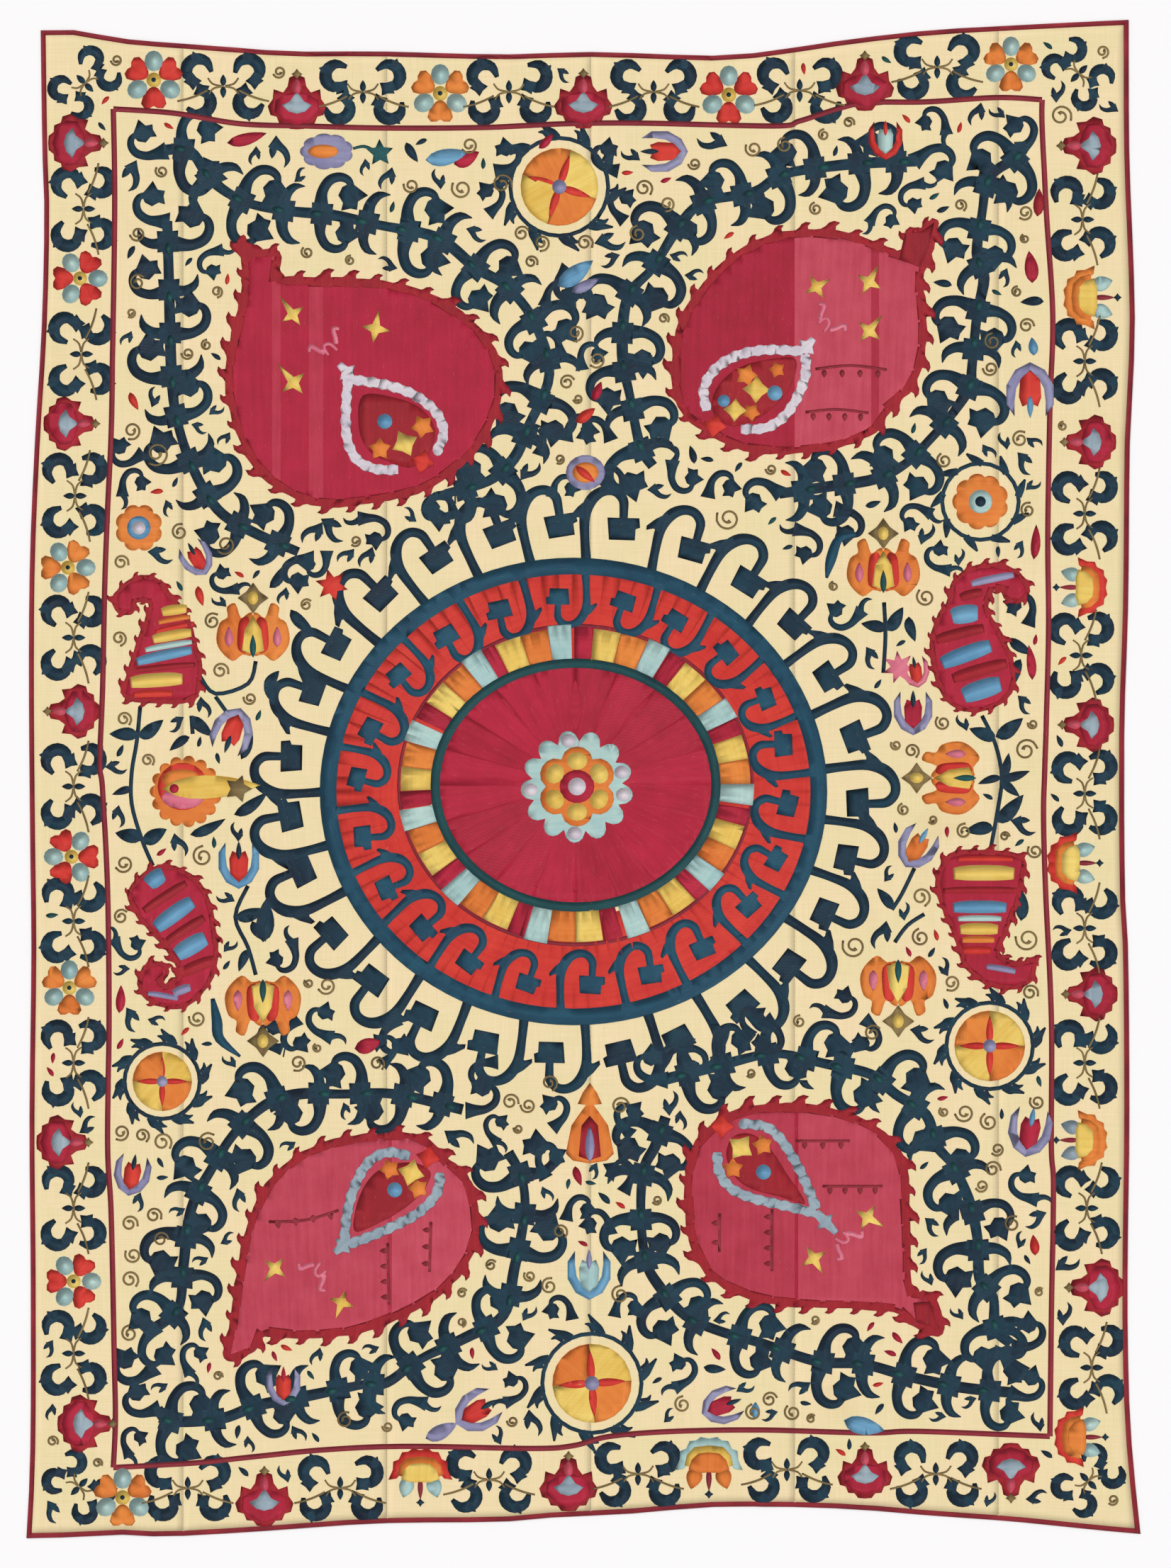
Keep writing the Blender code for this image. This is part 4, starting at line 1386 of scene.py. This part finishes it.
# %% The border, clockwise from the top left corner
# Each flower: kind, x, y, angle, size, silks
BORDER = [
    ("rosette", 217, 113, 30, 38, "scarlet"), ("bud", 419, 144, 90, 34, ""),
    ("rosette", 621, 132, 30, 38, "orange"), ("bud", 823, 143, 90, 34, ""),
    ("rosette", 1028, 134, 30, 38, "scarlet"), ("bud", 1220, 118, 90, 34, ""),
    ("rosette", 1426, 91, 30, 36, "orange"), ("bud", 1536, 206, 180, 34, ""),
    ("half", 1538, 420, 180, 34, "orange orange yellow pale_blue"), ("bud", 1538, 624, 180, 32, ""),
    ("half", 1526, 829, 0, 32, "scarlet orange yellow pale_blue"), ("bud", 1535, 1023, 180, 32, ""),
    ("half", 1514, 1218, 180, 33, "scarlet orange yellow pale_blue"), ("bud", 1540, 1403, 180, 32, ""),
    ("half", 1526, 1609, 0, 32, "orange orange yellow mist"), ("bud", 1547, 1817, 180, 34, ""),
    ("half", 1523, 2028, 180, 32, "scarlet orange orange pale_blue"), ("bud", 1426, 2075, 270, 34, ""),
    ("bud", 1220, 2078, 90, 32, ""), ("half", 1000, 2068, 90, 36, "pale_blue yellow orange orange"),
    ("bud", 802, 2094, 90, 34, ""), ("half", 593, 2082, 90, 34, "scarlet orange yellow pale_blue"),
    ("bud", 373, 2115, 90, 34, ""), ("rosette", 173, 2113, 30, 38, "orange"), ("bud", 120, 2009, 0, 34, ""),
    ("rosette", 104, 1808, 60, 36, "scarlet"), ("bud", 88, 1612, 0, 32, ""),
    ("rosette", 98, 1394, 30, 36, "orange"), ("rosette", 101, 1209, 0, 36, "scarlet"),
    ("bud", 104, 1004, 180, 32, ""), ("rosette", 96, 801, 60, 36, "orange"), ("bud", 98, 598, 0, 32, ""),
    ("rosette", 113, 393, 60, 36, "scarlet"), ("bud", 107, 202, 0, 34, ""),
]
for kind, x, y, angle, size, silks in BORDER:
    size *= 1.15
    if kind == "rosette":
        rosette(x, y, size * 0.9, silks, angle)
    elif kind == "bud":
        bud(x, y, angle, size)
    else:
        half_flower(x, y, angle, size, *silks.split())
# Scrolls: x, y, angle of the border there
SCROLLS = [
    (120, 118, 45), (315, 122, 0), (512, 130, 0), (718, 130, 0), (922, 130, 0), (1128, 128, 0),
    (1322, 95, 0), (1522, 104, 135), (1527, 310, 90), (1530, 510, 90), (1530, 725, 90), (1525, 925, 90),
    (1530, 1120, 90), (1530, 1310, 90), (1530, 1500, 90), (1533, 1705, 90), (1540, 1930, 90),
    (1535, 2090, 45), (1320, 2080, 0), (1110, 2074, 0), (900, 2080, 0), (690, 2088, 0), (480, 2100, 0),
    (265, 2100, 0), (112, 2098, 135), (104, 1910, 90), (104, 1705, 90), (104, 1500, 90), (104, 1300, 90),
    (104, 1110, 90), (104, 900, 90), (106, 700, 90), (115, 500, 90), (118, 295, 90),
]
for x, y, angle in SCROLLS:
    size, ends = (0.86, ()) if angle % 90 else (1.06, (1, -1))
    scroll(x, y, angle, size, ends)
    sew("navy", leaf(x, y, angle + 90, 17, 9) + leaf(x, y, angle + 270, 17, 9))

# %% [markdown]
# ## The small filling
#
# The embroiderer left no gap bare: wherever two large motifs leave room, a small curl, a leaf or a
# spiral fills it. Here the same is done by measuring. At places on a loose grid the distance to
# the nearest stitching is found, the widest gap is filled first, and what fills it counts as
# stitching for the next.

# %% Where the cloth may be filled
# The ground inside the braid, clockwise from the top left corner
GROUND = [
    (76, 62), (289, 81), (529, 89), (710, 94), (1010, 95), (1191, 74), (1431, 53), (1576, 46), (1578, 219),
    (1585, 459), (1578, 619), (1571, 1020), (1572, 1260), (1578, 1582), (1578, 1982), (1590, 2148),
    (1431, 2131), (1191, 2113), (1010, 2110), (890, 2120), (529, 2134), (168, 2150), (53, 2154), (59, 1822),
    (60, 1341), (57, 940), (65, 619), (78, 299),
]
# How close the marks along an outline are, and the side of the cells that they are filed under
MARK_PITCH, CELL = 8, 32
# The loose grid of places that are looked at, and how far each one strays from it
LOOK_X, LOOK_Y, LOOK_STRAY = range(70, 1590, 13), range(60, 2150, 13), 5
# The room that a motif needs, that a curl needs, that the largest takes, and what is left bare
LEAST_ROOM, WIDE_ROOM, MOST_ROOM, CLEARANCE = 12, 23, 30, 1.5
# Nothing is filled in inside this oval, or in an outline that is wider than this
MEDALLION_REACH, LARGE_WIDTH = (455, 427), 60


def encloses(outline, x, y):
    """Whether a place is inside an outline, even one that crosses itself."""
    inside = False
    for (ax, ay), (bx, by) in zip(outline, outline[1:] + outline[:1]):
        if (ay > y) != (by > y) and x < ax + (y - ay) / (by - ay) * (bx - ax):
            inside = not inside
    return inside


def marked(marks, points):
    """Files places under the cells of a coarse grid."""
    for x, y in points:
        marks[int(x // CELL), int(y // CELL)].append((x, y))


def room(marks, x, y):
    """The distance from a place to the nearest mark, up to one cell."""
    i, j = int(x // CELL), int(y // CELL)
    near = [mark for di in (-1, 0, 1) for dj in (-1, 0, 1) for mark in marks[i + di, j + dj]]
    return min([math.dist((x, y), mark) for mark in near] + [CELL])


def rim_points(outline):
    """The places along a closed outline, close together."""
    points = []
    for a, b in zip(outline, outline[1:] + outline[:1]):
        steps = max(1, math.ceil(math.dist(a, b) / MARK_PITCH))
        dx, dy = b[0] - a[0], b[1] - a[1]
        points += [(a[0] + dx * k / steps, a[1] + dy * k / steps) for k in range(steps)]
    return points


# %% Fill the gaps, the widest first
def small_motif(x, y, space, chance):
    """A motif for a round gap: a curl in a wide one, else a spiral, a leaf pair or one leaf."""
    angle, side = chance.uniform(0, 360), chance.choice((1, -1))
    if space > WIDE_ROOM:
        size = space / 0.66
        foot = spot(-0.48, -0.30, x, y, angle, size, side)
        tail = horn(*foot, angle + 150 * side, size * 0.5, side)
        return "navy", curl(*foot, angle, size, side, 0.2, 1.0) + tail
    pick = chance.random()
    if space > 12 and pick < 0.4:
        return "olive", spiral_line(x, y, space - 5.5, angle)
    if space > 11.5 and pick < 0.85:
        foot = spot(-0.8 * space, 0, x, y, angle)
        second = leaf(*foot, angle + 50 * side, space, space * 0.5)
        return "navy", horn(*foot, angle, space * 1.5, side, 0.36) + second
    silk = chance.choice(("navy", "navy", "navy", "crimson", "scarlet", "teal"))
    foot = spot(-0.75 * space, 0, x, y, angle)
    return silk, leaf(*foot, angle, space * 1.5, space * 0.62, 0.15)


def may_be_filled(x, y):
    """Whether a place is clear of the medallion, has room, is on the ground and in no large motif."""
    off = [(p - middle) / reach for p, middle, reach in zip((x, y), RING_CENTRE, MEDALLION_REACH)]
    if math.hypot(*off) < 1:
        return False
    if room(marks, x, y) <= LEAST_ROOM or not encloses(GROUND, x, y):
        return False
    return not any(encloses(outline, x, y) for outline in large)


chance = random.Random(8)
marks = defaultdict(list)
outlines = [each[0] for group in sewn.values() for each in group]
large = [outline for outline in outlines if max(outline)[0] - min(outline)[0] > LARGE_WIDTH]
for outline in outlines + [GROUND]:
    marked(marks, rim_points(outline))
gaps = []
for i in LOOK_X:
    for j in LOOK_Y:
        x = i + chance.uniform(-LOOK_STRAY, LOOK_STRAY)
        y = j + chance.uniform(-LOOK_STRAY, LOOK_STRAY)
        if may_be_filled(x, y):
            gaps.append((room(marks, x, y), x, y))
filled = 0
for _, x, y in sorted(gaps, reverse=True):
    space = min(room(marks, x, y), MOST_ROOM)
    if space > LEAST_ROOM:
        silk, patches = small_motif(x, y, space - CLEARANCE, chance)
        sew(silk, patches)
        filled += 1
        for each in patches:
            marked(marks, rim_points(each[0]))
        marked(marks, [(x, y)])
print("gaps filled", filled, "of", len(gaps), "places looked at")
print("patches in all", sum(map(len, sewn.values())), "in", len(sewn), "silks and layers")

# %% [markdown]
# ## From outlines to stitching
#
# All the patches of one silk on one layer are joined and cut into triangles, so overlapping
# outlines become one piece of stitching. Inside large patches a grid of points lets the silk
# follow the cloth. Every open edge gets a narrow slope down into the cotton. Each face keeps the
# place on its own threads as its UV, in metres, so the threads follow the drawing.

# %% Raise one layer of one silk
# Heights above the cotton: the lowest layer, each further layer, each further silk, and how far
# an edge goes down into the cotton. The slope at an edge is that many chart steps wide.
FILL_HEIGHT, LAYER_HEIGHT, SILK_STEP, SINK = 0.42 * MM, 0.2 * MM, 0.012 * MM, 0.15 * MM
EDGE_SLOPE = 0.45
# The grid inside large patches has 20 columns to a loom width, so that some lie along the seams
GRID_COLUMN, GRID_ROW = LOOM_WIDTH / STEP / 20, 15
FIRST_COLUMN = CHART_MIDDLE[0] + LOOM_SEAMS[2] / STEP - 60 * GRID_COLUMN


# Twice the area, in square chart steps, below which a patch is left out
SMALLEST_AREA = 0.4


def inner_points(patches):
    """Grid places inside the boxes of the large patches. Some columns lie along the seams."""
    cells = set()
    for outline, *_ in patches:
        xs, ys = zip(*outline)
        spans = max(xs) - min(xs), max(ys) - min(ys)
        if min(spans) > 0.8 * GRID_ROW and max(spans) > 2 * GRID_ROW:
            columns = [math.ceil((x - FIRST_COLUMN) / GRID_COLUMN) for x in (min(xs), max(xs))]
            rows = [math.ceil(y / GRID_ROW) for y in (min(ys), max(ys))]
            cells |= {(i, j) for i in range(*columns) for j in range(*rows)}
    return [Vector((FIRST_COLUMN + i * GRID_COLUMN, j * GRID_ROW)) for i, j in sorted(cells)]


def triangulated(patches):
    """The joined patches as points, and triangles that each know the patch they belong to."""
    points, loops, owners = [], [], []
    for one in patches:
        outline = one[0]
        turned = sum(a[0] * b[1] - b[0] * a[1] for a, b in zip(outline, outline[1:] + outline[:1]))
        if abs(turned) > SMALLEST_AREA:
            loops.append(list(range(len(points), len(points) + len(outline))))
            owners.append(one)
            points += [Vector(p) for p in (outline if turned > 0 else outline[::-1])]
    points += inner_points(patches)
    found, _, triangles, _, _, sources = delaunay_2d_cdt(points, [], loops, 1, 0.02)
    kept = []
    for corners, source in zip(triangles, sources):
        x, y = sum((found[i] for i in corners), Vector((0.0, 0.0))) / 3
        over = [k for k in source if encloses(owners[k][0], x, y)]
        if over:
            kept.append((corners, owners[max(over)]))
    used = sorted({i for corners, _ in kept for i in corners})
    place = {i: k for k, i in enumerate(used)}
    triangles = [tuple(place[i] for i in corners) for corners, _ in kept]
    return [found[i] for i in used], triangles, [owner for _, owner in kept]


def raised(silk, layer, mesh):
    """Adds one layer of a silk to the lists of a mesh."""
    points, triangles, owners = triangulated(sewn[silk, layer])
    height = FILL_HEIGHT + LAYER_HEIGHT * layer + SILK_STEP * list(SILKS).index(silk)
    edge_face = {}
    for k, (a, b, c) in enumerate(triangles):
        for edge in ((a, b), (b, c), (c, a)):
            if (edge[1], edge[0]) in edge_face:
                edge_face.pop((edge[1], edge[0]))
            else:
                edge_face[edge] = k
    inward = defaultdict(lambda: Vector((0.0, 0.0)))
    for a, b in edge_face:
        run = (points[b] - points[a]).normalized()
        for corner in (a, b):
            inward[corner] += Vector((-run.y, run.x))
    first = len(mesh["points"])
    for i, point in enumerate(points):
        moved = point + inward[i].normalized() * EDGE_SLOPE if i in inward else point
        x, y = on_cloth(*moved)
        mesh["points"].append((x, y, lie(x, y) + height))
    foot = {}
    for i in inward:
        x, y = on_cloth(*points[i])
        foot[i] = len(mesh["points"])
        mesh["points"].append((x, y, lie(x, y) - SINK))
    tops = [((c + first, b + first, a + first), k) for k, (a, b, c) in enumerate(triangles)]
    rims = [((b + first, a + first, foot[a], foot[b]), k) for (a, b), k in edge_face.items()]
    mesh["smooth"] += [True] * len(tops) + [False] * len(rims)
    for corners, owner in tops + rims:
        outline, grain, start, along, lot = owners[owner]
        turn, (sx, sy) = math.radians(grain), on_cloth(*start)
        c, s = math.cos(turn), math.sin(turn)
        mesh["faces"].append(corners)
        mesh["lots"].append(lot)
        for i in corners:
            x, y = mesh["points"][i][0] - sx, mesh["points"][i][1] - sy
            mesh["threads"] += [x * c + y * s + along * STEP, y * c - x * s]


def embroider(silk):
    """One mesh of all the stitching in one silk. Gives its number of triangles."""
    lists = {"points": [], "faces": [], "lots": [], "threads": [], "smooth": []}
    for key in sorted(sewn):
        if key[0] == silk:
            raised(*key, lists)
    mesh = bpy.data.meshes.new(silk)
    mesh.from_pydata(lists["points"], [], lists["faces"])
    mesh.uv_layers.new(name="thread").data.foreach_set("uv", lists["threads"])
    mesh.attributes.new("dye_lot", "FLOAT", "FACE").data.foreach_set("value", lists["lots"])
    mesh.polygons.foreach_set("use_smooth", lists["smooth"])
    finished(f"silk_{silk}", mesh, silk_materials[silk])
    return sum(len(face) - 2 for face in lists["faces"])


# %% Sew every silk
used = {key[0] for key in sewn}
triangle_counts = {silk: embroider(silk) for silk in SILKS if silk in used}
print("triangles", triangle_counts, "in all", sum(triangle_counts.values()))

# %% [markdown]
# ## The braid and the sewing
#
# A braid covers the cloth's edge, one length to each side, with mitred corners. Its outline is
# the cotton's own, taken outwards. Slanting stitches run along it, and fine whip stitches join
# the loom widths. Both kinds are made by one Geometry Nodes tree: it walks a path, sets a rounded
# stitch at every step, turns it, and realizes the lot as one mesh.

# %% Braid material
def make_braid_silk():
    """Dark red silk, a little faded in places."""
    material, tree, shader = new_material("braid_silk")
    place = add_node(tree, "ShaderNodeTexCoord").outputs["Object"]
    faded = ramped(tree, noise(tree, place, 14.0, 4.0), 0.3, 0.7)
    colour = mixed(tree, faded, screen_colour(122, 20, 36), screen_colour(164, 42, 54))
    speck = ramped(tree, noise(tree, place, 900.0, 2.0), 0.35, 0.65)
    colour = mixed(tree, maths(tree, "MULTIPLY", speck, 0.4), colour, screen_colour(104, 16, 30))
    roughness = maths(tree, "MULTIPLY_ADD", speck, 0.12, 0.52)
    set_inputs(tree, shader, {"Base Color": colour, "Roughness": roughness, "Specular IOR Level": 0.3})
    return material


braid_material = make_braid_silk()


# %% The edge of the cotton, with the way out at each point
def edge_sides():
    """The four sides, each as points with the way out there, mitred at both ends."""
    bottom = [p for sides in panel_outlines.values() for p in sides[0]]
    top = [p for sides in panel_outlines.values() for p in sides[1]]
    left, right = panel_outlines[1][2], panel_outlines[6][3]
    runs = [bottom[:-1], right[:-1], top[:0:-1], left[:0:-1]]
    fine = []
    for run, after in zip(runs, runs[1:] + runs[:1]):
        steps = [[tuple(p + (q - p) * k / 4 for p, q in zip(a, b)) for k in range(4)]
                 for a, b in zip(run, run[1:] + after[:1])]
        fine.append([point for step in steps for point in step])
    loop = [point for run in fine for point in run]
    outs = []
    for i, here in enumerate(loop):
        before, after = loop[i - 1], loop[(i + 1) % len(loop)]
        first = Vector((here[1] - before[1], before[0] - here[0])).normalized()
        second = Vector((after[1] - here[1], here[0] - after[0])).normalized()
        outs.append((first + second) / (1 + first.dot(second)))
    sides, start = [], 0
    for run in fine:
        turns = [(start + k) % len(loop) for k in range(len(run) + 1)]
        sides.append([(Vector(loop[k]), outs[k]) for k in turns])
        start += len(run)
    return dict(zip(("bottom", "right", "top", "left"), sides))


EDGES = edge_sides()
print("points along the edge", {name: len(side) for name, side in EDGES.items()})

# %% The braid: its section carried along each side
# The section: how far out from the cotton and how high, in millimetres
BRAID_SECTION = [
    (0.15, 0.0), (0.15, 1.0), (0.5, 1.8), (2.2, 2.3), (4.2, 2.45), (6.4, 2.25), (7.9, 1.5), (8.3, 0.5),
    (8.2, 0.0),
]


def braid_mesh(name, side):
    """The section swept along one side, with both ends closed."""
    points, rings, wide = [], len(side), len(BRAID_SECTION)
    for place, out in side:
        for off, high in BRAID_SECTION:
            corner = place + out * off * MM
            points.append((*corner, edge_lift(*corner) + high * MM))
    faces = [(i * wide + k, i * wide + (k + 1) % wide, (i + 1) * wide + (k + 1) % wide, (i + 1) * wide + k)
             for i in range(rings - 1) for k in range(wide)]
    faces += [tuple(range(wide))[::-1], tuple(range((rings - 1) * wide, rings * wide))]
    mesh = bpy.data.meshes.new(name)
    mesh.from_pydata(points, [], faces)
    mesh.shade_smooth()
    return mesh


braids = {}
for name, side in EDGES.items():
    braids[name] = finished(f"cord_{name}", braid_mesh(f"cord_{name}", side), braid_material)
    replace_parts(braids[name], f"braid_{name}")
print("faces of the braid", [len(braid.data.polygons) for braid in braids.values()])


# %% A Geometry Nodes tree that sets stitches along a path
def make_stitch_run():
    """The tree, and its inputs' identifiers by name."""
    tree = bpy.data.node_groups.new("stitch_run", "GeometryNodeTree")
    sockets = {}
    for name, kind, default in (
            ("Geometry", "NodeSocketGeometry", None), ("Spacing", "NodeSocketFloat", 0.003),
            ("Stitch Size", "NodeSocketVector", (0.004, 0.0008, 0.0005)), ("Slant", "NodeSocketFloat", 0.6),
            ("Unevenness", "NodeSocketFloat", 0.1), ("Seed", "NodeSocketInt", 0),
            ("Thread", "NodeSocketMaterial", None)):
        socket = tree.interface.new_socket(name=name, in_out="INPUT", socket_type=kind)
        if default is not None:
            socket.default_value = default
        sockets[name] = socket.identifier
    tree.interface.new_socket(name="Geometry", in_out="OUTPUT", socket_type="NodeSocketGeometry")
    given = tree.nodes.new("NodeGroupInput").outputs
    curve = add_node(tree, "GeometryNodeMeshToCurve", {0: given["Geometry"]}).outputs[0]
    inputs = {0: curve, "Length": given["Spacing"]}
    walk = add_node(tree, "GeometryNodeCurveToPoints", inputs, mode="LENGTH").outputs
    ball = add_node(tree, "GeometryNodeMeshUVSphere", {"Segments": 6, "Rings": 4, "Radius": 1.0}).outputs[0]
    stitch = add_node(tree, "GeometryNodeTransform", {0: ball, "Scale": given["Stitch Size"]}).outputs[0]
    inputs = {"Vector": walk["Tangent"]}
    along = add_node(tree, "FunctionNodeAlignRotationToVector", inputs, axis="X").outputs[0]
    low = maths(tree, "SUBTRACT", given["Slant"], given["Unevenness"])
    high = maths(tree, "ADD", given["Slant"], given["Unevenness"])
    inputs = {2: low, 3: high, "Seed": given["Seed"]}
    turn = add_node(tree, "FunctionNodeRandomValue", inputs, data_type="FLOAT").outputs[1]
    turned = add_node(tree, "FunctionNodeAxisAngleToRotation", {"Axis": (0, 0, 1), "Angle": turn}).outputs[0]
    inputs = {0: along, 1: turned}
    turned = add_node(tree, "FunctionNodeRotateRotation", inputs, rotation_space="LOCAL").outputs[0]
    inputs = {"Points": walk["Points"], "Instance": stitch, "Rotation": turned}
    stitches = add_node(tree, "GeometryNodeInstanceOnPoints", inputs).outputs[0]
    whole = add_node(tree, "GeometryNodeRealizeInstances", {0: stitches}).outputs[0]
    smooth_stitches = add_node(tree, "GeometryNodeSetShadeSmooth", {0: whole}).outputs[0]
    inputs = {0: smooth_stitches, "Material": given["Thread"]}
    result = add_node(tree, "GeometryNodeSetMaterial", inputs).outputs[0]
    tree.links.new(result, tree.nodes.new("NodeGroupOutput").inputs[0])
    return tree, sockets


STITCH_RUN, STITCH_SOCKETS = make_stitch_run()


def stitched(name, paths, material, values):
    """A mesh of stitches along paths, made by the tree and then kept as plain geometry."""
    points, edges = [], []
    for path in paths:
        edges += [(len(points) + k, len(points) + k + 1) for k in range(len(path) - 1)]
        points += path
    guide_mesh = bpy.data.meshes.new(f"{name}_path")
    guide_mesh.from_pydata(points, edges, [])
    guide = new_object(f"{name}_path", guide_mesh)
    modifier = guide.modifiers.new("stitches", "NODES")
    modifier.node_group = STITCH_RUN
    for key, value in {"Thread": material, **values}.items():
        modifier[STITCH_SOCKETS[key]] = value
    evaluated = guide.evaluated_get(bpy.context.evaluated_depsgraph_get())
    mesh = bpy.data.meshes.new_from_object(evaluated)
    bpy.data.objects.remove(guide, do_unlink=True)
    mesh.name = name
    return finished(name, mesh, material)


# %% Stitches along the braid and over the seams
# The line of the braid's stitches: how far out and how high
STITCH_OUT, STITCH_HIGH = 4.2 * MM, 2.2 * MM
# Each kind: its spacing, the half sizes of a stitch, its slant and how uneven that is
WHIPPING = {"Spacing": 2.7 * MM, "Stitch Size": (4.4 * MM, 1.1 * MM, 0.55 * MM), "Slant": 0.95,
            "Unevenness": 0.12}
SEAMING = {"Spacing": 7 * MM, "Stitch Size": (2.3 * MM, 0.4 * MM, 0.22 * MM), "Slant": 1.2,
           "Unevenness": 0.25}
SEAM_STEP = 12 * MM
stitch_pieces = []
for seed, (name, side) in enumerate(EDGES.items()):
    path = []
    for place, out in side:
        middle = place + out * STITCH_OUT
        path.append((*middle, edge_lift(*middle) + STITCH_HIGH))
    values = {**WHIPPING, "Seed": seed}
    stitch_pieces.append(stitched(f"whipping_{name}", [path], braid_material, values))
seam_paths = []
for number, seam_x in enumerate(LOOM_SEAMS, start=1):
    low, high = panel_outlines[number][3][0][1], panel_outlines[number][3][-1][1]
    steps = round((high - low) / SEAM_STEP)
    run = [low + (high - low) * k / steps for k in range(steps + 1)]
    seam_paths.append([(seam_x, y, lie(seam_x, y)) for y in run[:-1]])
values = {**SEAMING, "Seed": 9}
stitch_pieces.append(stitched("seam_stitches", seam_paths, cotton_material, values))
stitch_faces = [[len(face.vertices) for face in piece.data.polygons] for piece in stitch_pieces]
print("triangles in stitches", [sum(faces) - 2 * len(faces) for faces in stitch_faces])

# %% [markdown]
# ## The flat sizes
#
# For each loom width, the area of its flat outline is worked out, with the pieces that lie
# on it.

for sheet, (number, (bottom, top, left, right)) in zip(sheets, panel_outlines.items()):
    area = area_within(outline_loop(f"panel_{number}"))
    on_it = {1: [braids["left"]], 3: [braids["top"], braids["bottom"], *stitch_pieces], 6: [braids["right"]]}
